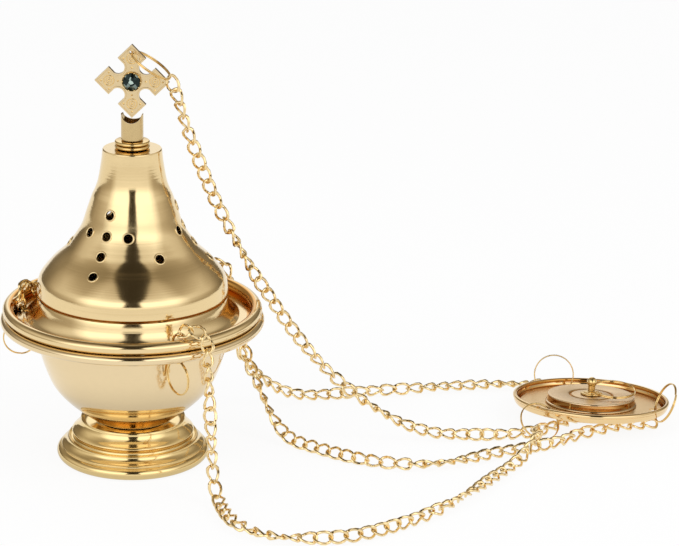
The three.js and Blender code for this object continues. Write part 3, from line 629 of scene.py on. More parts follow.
@dataclass(frozen=True)
class MetalFinish:
    """One metal finish: colour, polish, spinning lines and grain, with a painted reflection stripe and
    painted shade on side walls where they are asked for.

    A finish for a piece that isn't turned about the upright axis names the frame that its lines turn in.
    """

    name: str
    slot: Slot
    colour: Colour
    polish: float
    haze: float = 0.05
    line_depth: float = 0.0
    line_fineness: float = 900.0
    stipple_depth: float = 0.0
    tone_depth: float = 0.1
    frame: Matrix | None = None
    polished_outside: float = 0.0
    outside_polish: float = 0.06
    # Depth in metres from the middle plane within which side walls get painted shade.
    painted_side_shade: float = 0.0
    # Radii in metres between which a browner colour is painted, and that colour: a painted reflection of
    # nearby brass.
    reflection_stripe: Span = (0.0, 0.0)
    reflection_stripe_colour: Colour = (0.66, 0.33, 0.08)

    def material(self) -> bpy.types.Material:
        """Builds the finish once and gives it again after that.

        Returns:
            The Blender material.
        """
        made = bpy.data.materials.get(self.name)
        if made:
            return made
        made, nodes = new_material(self.name)
        place = self.placed(nodes)
        wear = nodes.group(NodeGroup.WEAR, Vector=place, Depth=self.tone_depth)
        colour = (*self.colour, 1)
        rough = nodes.maths("ADD", self.polish, nodes.maths("MULTIPLY", wear["Haze"], self.haze))
        height, depth = None, self.line_depth
        if self.line_depth:
            lines = nodes.group(NodeGroup.SPUN, Vector=place, Fineness=self.line_fineness)
            rough = nodes.maths("ADD", rough, nodes.maths("MULTIPLY", lines["Streak"], self.haze))
            height = lines["Height"]
            # Painted reflection: a browner stripe between two radii.
            if self.reflection_stripe[1]:
                colour = self.with_painted_reflection(nodes, lines["Radius"])
            if self.polished_outside:
                rough = self.polished(nodes, lines["Radius"], rough)
        if self.stipple_depth:
            height, depth = nodes.group(NodeGroup.STIPPLE, Vector=place)["Height"], self.stipple_depth
        # Painted shade: the side walls are darkened where asked for.
        tone = self.with_painted_side_shade(nodes, wear["Tone"], place) if self.painted_side_shade else wear["Tone"]
        grey = nodes.add("ShaderNodeCombineColor", Red=tone, Green=tone, Blue=tone).outputs[0]
        multiply = {"data_type": "RGBA", "blend_type": "MULTIPLY"}
        base = nodes.add("ShaderNodeMix", multiply, input_0=1.0, input_6=colour, input_7=grey).outputs[2]
        shader = made.node_tree.nodes["Principled BSDF"]
        nodes.feed(shader, Metallic=1.0, Base_Color=base, Roughness=rough)
        if height:
            bump = nodes.add("ShaderNodeBump", Height=height, Strength=1.0, Distance=depth)
            nodes.feed(shader, Normal=bump.outputs[0])
        return made

    def with_painted_side_shade(self, nodes: Nodes, tone: Socket, place: Socket) -> Socket:
        """Darkens the tone where the surface lies nearer the middle plane than the painted side shade's
        depth: painted shade on the side walls.

        Args:
            nodes: The material's nodes.
            tone: The plain tone.
            place: Object coordinates in the finish's frame.

        Returns:
            The tone.
        """
        depth = nodes.maths("ABSOLUTE", nodes.add("ShaderNodeSeparateXYZ", Vector=place).outputs[2])
        edge = nodes.mapped(depth, (self.painted_side_shade - SIDE_SHADE_BLUR, self.painted_side_shade), (SIDE_SHADE_TONE, 1.0))
        return nodes.maths("MULTIPLY", tone, edge)

    def polished(self, nodes: Nodes, radius: Socket, rough: Socket) -> Socket:
        """Gives the roughness, with a bright polish outside a radius.

        Args:
            nodes: The material's nodes.
            radius: Distance from the axis.
            rough: The plain roughness.

        Returns:
            The roughness.
        """
        edge = (self.polished_outside, self.polished_outside + OUTSIDE_BLUR)
        outside = nodes.mapped(radius, edge, (0.0, 1.0))
        mixed = nodes.add("ShaderNodeMix", input_0=outside, input_2=rough, input_3=self.outside_polish)
        return mixed.outputs[0]

    def with_painted_reflection(self, nodes: Nodes, radius: Socket) -> Socket:
        """Gives the colour with a browner stripe between two radii, on a turned groove or an upright wall:
        painted reflection, standing in for the mirror images of nearby brass.

        Args:
            nodes: The material's nodes.
            radius: Distance from the axis.

        Returns:
            The colour.
        """
        first, last = self.reflection_stripe
        begun = nodes.mapped(radius, (first - REFLECTION_STRIPE_BLUR, first), (0.0, 1.0))
        ended = nodes.mapped(radius, (last, last + REFLECTION_STRIPE_BLUR), (1.0, 0.0))
        share = nodes.maths("MULTIPLY", begun, ended)
        colours = {"input_6": (*self.colour, 1), "input_7": (*self.reflection_stripe_colour, 1)}
        return nodes.add("ShaderNodeMix", {"data_type": "RGBA"}, input_0=share, **colours).outputs[2]

    def placed(self, nodes: Nodes) -> Socket:
        """Gives the object coordinates, turned to the finish's own frame.

        Args:
            nodes: The material's nodes.

        Returns:
            The vector for every pattern of the finish.
        """
        plain = nodes.add("ShaderNodeTexCoord").outputs["Object"]
        if self.frame is None:
            return plain
        lie = {"Location": self.frame.translation * MM, "Rotation": self.frame.to_euler("XYZ")}
        return nodes.add("ShaderNodeMapping", {"vector_type": "TEXTURE"}, Vector=plain, **lie).outputs[0]


@dataclass(frozen=True)
class StoneFinish:
    """The dark cut stone, with painted glints: some patches of its colour are painted light."""

    name: str = "paste_stone"
    slot: Slot = Slot.STONE
    deep: Colour = (0.012, 0.022, 0.02)
    # Colour of the painted glints.
    lit: Colour = (0.5, 0.62, 0.56)
    metallic: float = 0.75
    polish: float = 0.04
    facets_per_metre: float = 560.0
    glint: Span = (0.62, 0.95)

    def material(self) -> bpy.types.Material:
        """Builds the stone's material.

        Returns:
            The Blender material.
        """
        made, nodes = new_material(self.name)
        place = nodes.add("ShaderNodeTexCoord").outputs["Object"]
        cells = nodes.add("ShaderNodeTexVoronoi", Vector=place, Scale=self.facets_per_metre).outputs["Color"]
        facet = nodes.add("ShaderNodeSeparateColor", Color=cells).outputs[0]
        # Painted glints: random patches past the glint span take the lit colour.
        colour = nodes.ramp(facet, tuple(zip(self.glint, (self.deep, self.lit))))
        shader = made.node_tree.nodes["Principled BSDF"]
        nodes.feed(shader, Base_Color=colour, Metallic=self.metallic, Roughness=self.polish)
        return made


Finish = MetalFinish | StoneFinish


def cross_turn() -> Matrix:
    """Gives the turn of the cross about its middle: X to the right, Y up, Z towards the front."""
    return Matrix.Rotation(math.radians(CROSS_TURN), 4, "Z") @ Matrix.Rotation(math.pi / 2, 4, "X")


def plate_frame() -> Matrix:
    """Gives the tilted frame of the hand plate, in millimetres of the burner's frame."""
    tilt = Matrix.Rotation(PLATE_TILT[0], 4, "X") @ Matrix.Rotation(PLATE_TILT[1], 4, "Y")
    return Matrix.Translation(PLATE_PLACE) @ tilt


PLATED = MetalFinish("bright_plating", Slot.PLATED, (0.86, 0.62, 0.27), 0.07, haze=0.1)
POST_GOLD = MetalFinish(
    "turned_post", Slot.PLATED, (0.74, 0.55, 0.27), 0.1, haze=0.16, line_depth=0.00001, tone_depth=0.3
)
CHAIN_PLATED = MetalFinish("chain_plating", Slot.PLATED, (0.97, 0.75, 0.4), 0.06, haze=0.1, tone_depth=0.2)
# The lid's gutter carries a painted reflection stripe.
SPUN = MetalFinish(
    "spun_lid", Slot.SPUN, (0.87, 0.67, 0.36), 0.05, haze=0.08, line_depth=0.00004, line_fineness=750.0,
    reflection_stripe=(0.0574, 0.0618), reflection_stripe_colour=(0.8, 0.42, 0.1),
)
FOOT_GOLD = MetalFinish("polished_foot", Slot.PALE, (0.9, 0.68, 0.32), 0.05, haze=0.06, line_depth=0.000004)
PALE = MetalFinish("polished_bowl", Slot.PALE, (0.86, 0.68, 0.41), 0.05, haze=0.06, line_depth=0.000004)
# The plate's upright wall carries a painted reflection stripe.
SATIN_PLATE = MetalFinish(
    "satin_plate", Slot.PLATED, (0.88, 0.64, 0.33), 0.2, haze=0.12, line_depth=0.00001, frame=plate_frame(),
    polished_outside=0.0372, reflection_stripe=(0.0376, 0.0397),
)
# The disc's turned groove carries a painted reflection stripe.
SATIN_DISC = MetalFinish(
    "satin_disc", Slot.SATIN, (0.86, 0.65, 0.4), 0.26, haze=0.14, line_depth=0.00002, frame=plate_frame(),
    polished_outside=0.0227, reflection_stripe=(0.0107, 0.0119),
)
# The cross's side walls carry painted shade.
STRUCK = MetalFinish(
    "struck_cross", Slot.PLATED, (0.84, 0.65, 0.37), 0.16, haze=0.12, stipple_depth=0.00006, tone_depth=0.25,
    frame=cross_turn(), painted_side_shade=0.00085,
)
PAN_STEEL = MetalFinish(
    "heat_dulled_steel", Slot.PAN, (0.55, 0.5, 0.44), 0.3, haze=0.25, line_depth=0.00003, tone_depth=0.4
)
SCREW_STEEL = MetalFinish("turned_steel", Slot.SCREW, (0.66, 0.65, 0.62), 0.22, haze=0.2, line_depth=0.00003)
STONE = StoneFinish()


def finished(
    bm: Shape,
    name: str,
    finish: Finish,
    body: Body | str,
    replaces: Sequence[str] = (),
    place: Matrix | None = None,
    flat: bool = False,
) -> Piece:
    """Turns a shape in millimetres into a piece of the object.

    Args:
        bm: The shape, which is freed.
        name: The piece's name.
        finish: Its finish.
        body: The body it rides on, or an empty name where it rides on none.
        replaces: The plain solids that it stands for.
        place: Where the shape goes, in millimetres.
        flat: Whether it keeps flat facets.

    Returns:
        The piece.
    """
    if place is not None:
        bmesh.ops.transform(bm, matrix=place, verts=bm.verts)
    bmesh.ops.scale(bm, vec=(MM, MM, MM), verts=bm.verts)
    mesh = as_mesh(bm, name)
    mesh.materials.append(finish.material())
    if not flat:
        mesh.shade_smooth()
        mesh.set_sharp_from_angle(angle=math.radians(SHARP_ANGLE))
    piece = in_scene(name, mesh)
    if body:
        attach(piece, body.value if isinstance(body, Body) else body)
    if replaces:
        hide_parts(*replaces)
    return piece


# Studio


@dataclass
class Studio:
    """Camera, lights, white surroundings and floor."""

    camera_place: Point = (0.00544, -1.24002, 0.50082)
    camera_right: Point = (0.9972, -0.0720, 0.0216)
    camera_up: Point = (0.0018, 0.3098, 0.9508)
    camera_reach: Span = (0.05, 20.0)
    sensor_width: float = 36.0
    focal_pixels: float = 2600.0
    image_width: float = 679.0
    floor_size: float = 6.0
    floor_drop: float = 0.0002
    floor_white: float = 0.9
    floor_glow: float = 0.9
    lamp_size: Span = (0.7, 1.1)
    lamp_power: float = 9.0
    lamp_aim: Point = (0.1, 0.0, 0.08)
    left_lamp: Point = (-1.1, -0.9, 1.0)
    right_lamp: Point = (1.3, -0.8, 1.1)
    soft_level: float = 0.75
    # Painted shadow on the floor as metal sees it: its glow dims towards the middle between these radii in
    # metres, down to this level.
    painted_shadow_span: Span = (0.035, 0.095)
    painted_shadow_level: float = 0.72
    brightest: float = 1.7
    darkest: float = 0.04
    gap_widths: tuple[Span, ...] = ((0.2, 0.2), (0.45, 0.15), (0.65, 0.13), (0.94, 0.28), (1.0, 0.28))
    gap_edge: Span = (0.85, 1.15)
    gap_faces: Span = (0.0, 0.2)
    gap_foot: Span = (0.2, 0.24)
    warm_tint: Colour = (1.0, 0.8, 0.5)
    round_levels: tuple[Span, ...] = (
        (0.0, 1.0), (0.3, 1.0), (0.42, 0.5), (0.62, 0.4), (0.76, 0.16), (0.87, 0.16), (0.94, 0.7), (1.0, 0.7),
    )
    height_levels: tuple[Span, ...] = (
        (0.0, 0.5), (0.12, 0.6), (0.36, 1.0), (0.52, 1.0), (0.7, 0.58), (0.87, 0.36), (1.0, 0.24),
    )

    def build(self) -> None:
        """Sets up the whole studio."""
        self.add_camera()
        self.add_world()
        self.add_floor()
        self.add_lamp("left_softbox", self.left_lamp)
        self.add_lamp("right_softbox", self.right_lamp)
        bpy.context.scene.view_settings.view_transform = "Standard"

    def add_camera(self) -> None:
        """Places the camera at the photograph's viewpoint."""
        data = bpy.data.cameras.new("camera")
        data.sensor_width = self.sensor_width
        data.lens = self.focal_pixels / self.image_width * self.sensor_width
        data.clip_start, data.clip_end = self.camera_reach
        camera = in_scene("camera", data)
        right, up = Vector(self.camera_right).normalized(), Vector(self.camera_up).normalized()
        back = right.cross(up).normalized()
        turn = Matrix((right, back.cross(right), back)).transposed().to_4x4()
        camera.matrix_world = Matrix.Translation(self.camera_place) @ turn
        bpy.context.scene.camera = camera

    def add_lamp(self, name: str, place: Point) -> None:
        """Adds a large soft lamp that faces the object.

        Args:
            name: The lamp's name.
            place: Where it hangs.
        """
        data = bpy.data.lights.new(name, "AREA")
        data.shape = "RECTANGLE"
        data.size, data.size_y = self.lamp_size
        data.energy = self.lamp_power
        lamp = in_scene(name, data)
        lamp.location = place
        lamp.rotation_euler = (Vector(self.lamp_aim) - Vector(place)).to_track_quat("-Z", "Y").to_euler()
        lamp.visible_glossy = False

    def add_world(self) -> None:
        """Makes surroundings that look white, and that metal sees as two soft boxes with a dark gap."""
        world = bpy.data.worlds.new("studio")
        bpy.context.scene.world = world
        world.use_nodes = True
        world.node_tree.nodes.clear()
        nodes = Nodes(world.node_tree)
        rays = nodes.add("ShaderNodeLightPath").outputs
        straight = nodes.maths("MAXIMUM", rays["Is Camera Ray"], rays["Is Transmission Ray"])
        level = self.mirrored_level(nodes)
        tint = nodes.ramp(level, ((0.0, self.warm_tint), (1.0, (1, 1, 1))))
        soft, metal, white = (
            nodes.add("ShaderNodeBackground", Color=colour, Strength=strength).outputs[0]
            for colour, strength in (((1, 1, 1, 1), self.soft_level), (tint, level), ((1, 1, 1, 1), 1.0))
        )
        mix = "ShaderNodeMixShader"
        first = nodes.add(mix, Fac=rays["Is Glossy Ray"], input_1=soft, input_2=metal).outputs[0]
        both = nodes.add(mix, Fac=straight, input_1=first, input_2=white).outputs[0]
        nodes.add("ShaderNodeOutputWorld", Surface=both)

    def mirrored_level(self, nodes: Nodes) -> Socket:
        """Adds the nodes for how bright the surroundings look in metal.

        Args:
            nodes: The world's nodes.

        Returns:
            The level.
        """
        around = nodes.add("ShaderNodeTexCoord").outputs["Generated"]
        x, y, z = nodes.add("ShaderNodeSeparateXYZ", Vector=around).outputs
        toward = nodes.maths("MULTIPLY", y, -1.0)
        turned = nodes.maths("ABSOLUTE", nodes.maths("ARCTAN2", x, toward))
        outer = nodes.ramp(nodes.maths("DIVIDE", turned, math.pi), self.round_levels)
        width = nodes.ramp(z, self.gap_widths)
        beside = nodes.maths("DIVIDE", nodes.maths("ABSOLUTE", x), width)
        gap = nodes.mapped(beside, self.gap_edge, (1.0, 0.0), smooth=True)
        for value, span in ((toward, self.gap_faces), (z, self.gap_foot)):
            gap = nodes.maths("MULTIPLY", gap, nodes.mapped(value, span, (0.0, 1.0), smooth=True))
        level = nodes.maths("MULTIPLY", outer, nodes.ramp(z, self.height_levels))
        level = nodes.maths("MULTIPLY", level, nodes.maths("SUBTRACT", 1.0, gap))
        return nodes.maths("ADD", nodes.maths("MULTIPLY", level, self.brightest), self.darkest)

    def add_floor(self) -> None:
        """Lays a white floor that keeps a faint shadow, and that metal sees with a painted shadow round the
        burner's foot.
        """
        bm = bmesh.new()
        bmesh.ops.create_grid(bm, x_segments=1, y_segments=1, size=self.floor_size)
        bmesh.ops.translate(bm, vec=(0, 0, -self.floor_drop), verts=bm.verts)
        floor = in_scene("floor", as_mesh(bm, "floor"))
        material, nodes = new_material("white_floor")
        material.node_tree.nodes.clear()
        rays = nodes.add("ShaderNodeLightPath").outputs
        mirrored = nodes.maths("MAXIMUM", rays["Is Glossy Ray"], rays["Is Transmission Ray"])
        seen = nodes.maths("MAXIMUM", rays["Is Camera Ray"], mirrored)
        place = nodes.add("ShaderNodeTexCoord").outputs["Object"]
        away = nodes.add("ShaderNodeVectorMath", {"operation": "LENGTH"}, input_0=place).outputs["Value"]
        # Painted shadow: the glow that metal sees is dimmer near the middle; the camera sees it plain white.
        painted_shadow = nodes.mapped(away, self.painted_shadow_span, (self.painted_shadow_level, 1.0), smooth=True)
        level = nodes.maths("MAXIMUM", painted_shadow, rays["Is Camera Ray"])
        white = (self.floor_white, self.floor_white, self.floor_white, 1)
        paper = nodes.add("ShaderNodeBsdfDiffuse", Color=white).outputs[0]
        glow = nodes.add("ShaderNodeEmission", Color=(1, 1, 1, 1), Strength=level).outputs[0]
        share = nodes.maths("MULTIPLY", seen, self.floor_glow)
        mixed = nodes.add("ShaderNodeMixShader", Fac=share, input_1=paper, input_2=glow).outputs[0]
        nodes.add("ShaderNodeOutputMaterial", Surface=mixed)
        floor.data.materials.append(material)


# Chains


@dataclass(frozen=True)
class CurbLink:
    """One twisted link of a curb chain."""

    wire: float = 1.45
    width: float = 7.2
    pitch: float = 7.4
    twist: float = 42.0
    straightening: float = 1.6
    sides: int = 8
    steps: int = 18

    def build(self) -> bpy.types.Mesh:
        """Bends a wire ring into an oval and twists it.

        Returns:
            The link's mesh in millimetres, with the chain running along X.
        """
        half_width = (self.width - self.wire) / 2
        half_length = (self.pitch + self.wire) / 2
        bm = spin(arc(half_width, 0, self.wire / 2, 0, 360 - 360 / self.sides, self.sides - 1), self.steps)
        stretch = half_length - half_width
        for vert in bm.verts:
            vert.co.x += stretch * max(-1, min(1, self.straightening * vert.co.x / half_width))
            turn = math.radians(self.twist) * vert.co.x / half_length
            vert.co = Matrix.Rotation(turn, 3, "X") @ vert.co
        return as_mesh(bm, "curb_link")


@dataclass
class FineLine:
    """A fine line that knows how far along it each of its points lies."""

    points: list[Vector]
    along: list[float] = field(init=False)

    def __post_init__(self) -> None:
        """Measures the line from its start."""
        steps = ((b - a).length for a, b in zip(self.points, self.points[1:]))
        self.along = list(accumulate(steps, initial=0.0))

    @property
    def length(self) -> float:
        """Gives the line's whole length."""
        return self.along[-1]

    def at(self, distance: float) -> Vector:
        """Finds a point of the line by its distance from the start.

        Args:
            distance: The distance, which is kept within the line.

        Returns:
            The point.
        """
        distance = max(0.0, min(distance, self.length))
        for i in range(1, len(self.along)):
            if self.along[i] >= distance:
                step = max(self.along[i] - self.along[i - 1], SMALLEST_STEP)
                return self.points[i - 1].lerp(self.points[i], (distance - self.along[i - 1]) / step)
        return self.points[-1].copy()


@dataclass
class Stretch:
    """One piece of a chain, up to a share of its length, and how it moves."""

    name: str
    until: float
    moves: tuple[str, ...]
    blend_start: Point = (0, 0, 0)
    blend_end: Point = (0, 0, 0)
    replaces: tuple[str, ...] = ()


@dataclass
class Chain:
    """A curb chain along a route in metres, in a few stretches. A point of two numbers lies on the floor."""

    route: list[Point | Span]
    stretches: list[Stretch]
    first_link: float = 0.5
    link: CurbLink = field(default_factory=CurbLink)
    face_on_floor: Point = (0.0, -0.62, 0.78)
    face_hanging: Point = (0.05, -1.0, 0.3)
    hanging_height: Span = (6.0, 34.0)
    sway: float = 50.0
    sway_length: float = 125.0
    sway_start: float = 0.0
    ripple: float = 0.6
    ripple_rate: float = 2.3
    fine_steps: int = 12
    shortest_cord: float = 45.0
    path_step: float = 3.0
    lying_height: float = 0.0035
    end_pieces: list[Piece] = field(default_factory=list)

    def build(self) -> list[Piece]:
        """Lays the links along the route, one piece for each stretch.

        Returns:
            The pieces.
        """
        route = (point if len(point) == 3 else (*point, self.lying_height) for point in self.route)
        line = FineLine(catmull([Vector(point) / MM for point in route], self.fine_steps))
        count = round(line.length / self.link.pitch - self.first_link)
        pitch = line.length / (count + self.first_link)
        places = [(i + self.first_link) * pitch for i in range(count + 1)]
        template = self.link.build()
        pieces, ends = [], []
        start = 0.0
        for stretch in self.stretches:
            end = stretch.until * line.length
            past_end = 1 if stretch is self.stretches[-1] else 0
            bm = bmesh.new()
            for at in places:
                if start <= at < end + past_end:
                    add_copy(bm, template, self.link_frame(line, min(at, line.length)))
            pieces.append(self.moved(bm, stretch))
            ends.append((start, min(end, line.length)))
            start = end
        bpy.data.meshes.remove(template)
        self.declare(pieces, ends, line)
        return pieces

    def link_frame(self, line: FineLine, at: float) -> Matrix:
        """Finds how one link lies.

        Args:
            line: The chain's line.
            at: The link's distance along it.

        Returns:
            The matrix that places the link.
        """
        half = self.link.pitch / 2
        centre = line.at(at)
        run = (line.at(at + half) - line.at(at - half)).normalized()
        low, high = self.hanging_height
        t = max(0.0, min(1.0, (centre.z - low) / (high - low)))
        face = Vector(self.face_on_floor).lerp(Vector(self.face_hanging), eased(t))
        face = (face - face.dot(run) * run).normalized()
        phase = FULL_TURN * (at - self.sway_start) / self.sway_length
        turn = math.radians(self.sway) * (math.sin(phase) + self.ripple * math.sin(self.ripple_rate * phase))
        face = Matrix.Rotation(turn, 3, run) @ face
        side = face.cross(run)
        return Matrix.Translation(centre) @ Matrix((run, side, face)).transposed().to_4x4()

    @staticmethod
    def moved(bm: Shape, stretch: Stretch) -> Piece:
        """Finishes one stretch of links and sets it on its body where it moves with one; where it moves with
        two, its place is baked in.

        Args:
            bm: The links.
            stretch: What the stretch is.

        Returns:
            The piece.
        """
        one_body = stretch.moves[0] if len(stretch.moves) == 1 else ""
        piece = finished(bm, stretch.name, CHAIN_PLATED, one_body, stretch.replaces)
        if len(stretch.moves) == 2:
            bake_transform(piece)
        return piece

    def declare(self, pieces: Sequence[Piece], ends: Sequence[Span], line: FineLine) -> None:
        """Samples a path along each stretch long enough for a cord; neither the paths nor the shorter
        stretches are used further.

        Args:
            pieces: The stretches.
            ends: Where each starts and ends, in millimetres along the chain.
            line: The chain's line.
        """
        short = list(self.end_pieces)
        for piece, (start, end) in zip(pieces, ends):
            if end - start < self.shortest_cord:
                short.append(piece)
                continue
            steps = round((end - start) / self.path_step)
            path = [tuple(line.at(start + (end - start) * i / steps) * MM) for i in range(steps + 1)]
            short = []


@dataclass
class SpareLinks:
    """Links that lie folded in a narrow gap, stacked as they would hang when drawn out between two bodies."""

    name: str
    bodies: tuple[str, str]
    base: Vector
    axis: Vector
    gap: float
    travel: float
    halvings: int = 40
    link: CurbLink = field(default_factory=CurbLink)

    def build(self) -> Piece:
        """Stacks the links as they hang when drawn out, and folds them into the gap.

        Returns:
            The piece.
        """
        length = self.gap + self.travel
        count = max(2, round(length / self.link.pitch))
        template = self.link.build()
        bm = bmesh.new()
        side = self.axis.orthogonal().normalized()
        turn = Matrix((self.axis, side, self.axis.cross(side))).transposed().to_4x4()
        for i in range(1, count):
            add_copy(bm, template, turn @ Matrix.Translation((length * i / count, 0, 0)))
        bpy.data.meshes.remove(template)
        for vert in bm.verts:
            drawn_out = vert.co.dot(self.axis)
            vert.co += self.axis * (self.folded(drawn_out) - drawn_out)
        piece = finished(bm, self.name, CHAIN_PLATED, "", place=Matrix.Translation(self.base))
        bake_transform(piece)
        return piece

    def folded(self, drawn_out: float) -> float:
        """Finds where a point lies at rest, from its place when the links are drawn out.

        Args:
            drawn_out: Height above the base when drawn out.

        Returns:
            Height above the base at rest.
        """
        if drawn_out <= 0:
            return drawn_out
        if drawn_out >= self.gap + self.travel:
            return drawn_out - self.travel
        low, high = 0.0, 1.0
        for _ in range(self.halvings):
            t = (low + high) / 2
            if self.gap * t + self.travel * eased(t) < drawn_out:
                low = t
            else:
                high = t
        return self.gap * low


@dataclass
class Chains:
    """The four chains, from the burner to the hand plate."""

    ring_wire: float = 1.2
    lid_travel: float = 60.0
    disc_travel: float = 20.0
    disc_gap: float = 3.0
    spare_drop: float = 0.5
    link: CurbLink = field(default_factory=CurbLink)

    def build(self) -> list[Piece]:
        """Builds all chains, the end links below the bowl's flange and the folded spare links.

        Returns:
            The pieces.
        """
        pieces = []
        outer = (self.front_chain(), self.back_chain(), self.left_chain())
        for side, azimuth, chain in zip(CHAIN_SIDES, CHAIN_HOLES, outer):
            end, spare = self.end_links(side, azimuth)
            chain.end_pieces.append(end)
            pieces += [end, spare, *chain.build()]
        pieces += self.centre_chain().build()
        up = (plate_frame().to_3x3() @ UP).normalized()
        base = plate_frame() @ Vector((0, 0, -self.spare_drop))
        bodies = (Body.PLATE.value, Body.DISC.value)
        spare = SpareLinks("centre_chain_spare", bodies, base, up, self.disc_gap, self.disc_travel)
        pieces.append(spare.build())
        return pieces

    def end_links(self, side: str, azimuth: float) -> list[Piece]:
        """Builds the last link of an outer chain, which holds the stop ring, and the spare links above it.

        Args:
            side: Which chain.
            azimuth: Where its hole lies.

        Returns:
            Both pieces.
        """
        reach = (self.link.pitch + self.link.wire) / 2
        hole = polar(CHAIN_HOLE_CIRCLE, azimuth, STOP_RING_HEIGHT - self.ring_wire + reach)
        upright = Matrix.Rotation(azimuth, 4, "Z") @ Matrix.Rotation(-math.pi / 2, 4, "Y")
        template = self.link.build()
        bm = bmesh.new()
        add_copy(bm, template, Matrix.Translation(hole) @ upright)
        bpy.data.meshes.remove(template)
        end = finished(bm, f"end_link_{side}", CHAIN_PLATED, Body.BURNER, (f"chain_end_{side}",))
        bodies = (Body.BURNER.value, Body.LID.value)
        spare = SpareLinks(f"{side}_chain_spare", bodies, hole, UP, self.link.pitch, self.lid_travel)
        return [end, spare.build()]

    @staticmethod
    def stretches(side: str, ring: str, until: Triple, *blends: tuple[Point, Point]) -> list[Stretch]:
        """Splits an outer chain into the part on the lid, the slack by the lid and by the plate, and its end.

        Args:
            side: Which chain.
            ring: The plate ring that holds its end.
            until: Shares of its length where the first three stretches end.
            *blends: For the last three, where they move as their first body does, and where as their second.

        Returns:
            The four stretches.
        """
        lid, burner, plate = Body.LID.value, Body.BURNER.value, Body.PLATE.value
        first = Stretch(f"{side}_chain_on_lid", until[0], (lid,), replaces=(f"chain_{side}_lid",))
        pairs = ((lid, burner), (burner, plate), (plate, ring))
        rest = zip(("near", "far", "end"), (*until[1:], 1.0), pairs, blends)
        return [first] + [
            Stretch(f"{side}_chain_{part}", share, bodies, *blend, replaces=(f"chain_{side}",))
            for part, share, bodies, blend in rest
        ]

    def front_chain(self) -> Chain:
        """Gives the chain from the front hole, which runs in a wide loop on the floor.

        Returns:
            The chain.
        """
        route = [
            (0.022, -0.05258, 0.07515), (0.0221, -0.0527, 0.0785), (0.0226, -0.0531, 0.0815),
            (0.0248, -0.0544, 0.0848), (0.0286, -0.0568, 0.0864), (0.0326, -0.0592, 0.0854),
            (0.0353, -0.061, 0.082), (0.0359, -0.0613, 0.0785), (0.0364, -0.0615, 0.068),
            (0.0373, -0.0619, 0.048), (0.0384, -0.0626, 0.025), (0.0394, -0.0642, 0.011),
            (0.0412, -0.069, 0.0046), (0.0428, -0.078), (0.045, -0.088), (0.049, -0.098), (0.0565, -0.1075),
            (0.068, -0.1145), (0.084, -0.117), (0.1, -0.1155), (0.113, -0.1105), (0.126, -0.1025),
            (0.138, -0.0935), (0.15, -0.082), (0.161, -0.069), (0.171, -0.0565), (0.18, -0.044),
            (0.189, -0.0324, 0.0036), (0.1964, -0.0236, 0.0052), (0.2026, -0.0148, 0.0086),
            (0.2066, -0.0064, 0.0108), (0.2082, 0.0004, 0.0104), (0.2083, 0.0046, 0.008),
        ]
        near = ((0.0359, -0.0613, 0.079), (0.113, -0.1105, 0.0035))
        far = ((0.126, -0.1025, 0.0035), (0.186, -0.036, 0.0035))
        last = ((0.1964, -0.0236, 0.0052), (0.2083, 0.0046, 0.008))
        parts = self.stretches("front", "plate_ring_front", (0.072, 0.5, 0.86), near, far, last)
        return Chain(route, parts, sway_start=62.0)

    def back_chain(self) -> Chain:
        """Gives the chain from the back hole, which ends under the plate at its right ring.

        Returns:
            The chain.
        """
        route = [
            (0.03454, 0.04534, 0.07515), (0.0346, 0.0454, 0.0785), (0.0352, 0.0457, 0.0815),
            (0.0378, 0.0468, 0.0848), (0.042, 0.0486, 0.0864), (0.0462, 0.0504, 0.0854),
            (0.0487, 0.0513, 0.082), (0.0491, 0.0512, 0.0785), (0.0502, 0.05, 0.07), (0.053, 0.0464, 0.057),
            (0.057, 0.0412, 0.0445), (0.061, 0.0356, 0.034), (0.0662, 0.0286, 0.0228),
            (0.0716, 0.0212, 0.0128), (0.0772, 0.0136, 0.0062), (0.083, 0.0066, 0.0037), (0.092, -0.0016),
            (0.103, -0.0106), (0.115, -0.0184), (0.128, -0.024), (0.143, -0.0264), (0.158, -0.0246),
            (0.171, -0.019), (0.184, -0.0122), (0.196, -0.0074), (0.206, -0.0034), (0.215, 0.0004),
            (0.222, 0.0046), (0.229, 0.0104), (0.237, 0.016), (0.248, 0.021), (0.26, 0.0248),
            (0.272, 0.0274),
        ]
        near = ((0.0491, 0.0512, 0.079), (0.128, -0.024, 0.0035))
        far = ((0.143, -0.0264, 0.0035), (0.228, 0.009, 0.0035))
        last = ((0.237, 0.016, 0.0035), (0.272, 0.0274, 0.0035))
        return Chain(route, self.stretches("back", "plate_ring_right", (0.075, 0.5, 0.86), near, far, last))

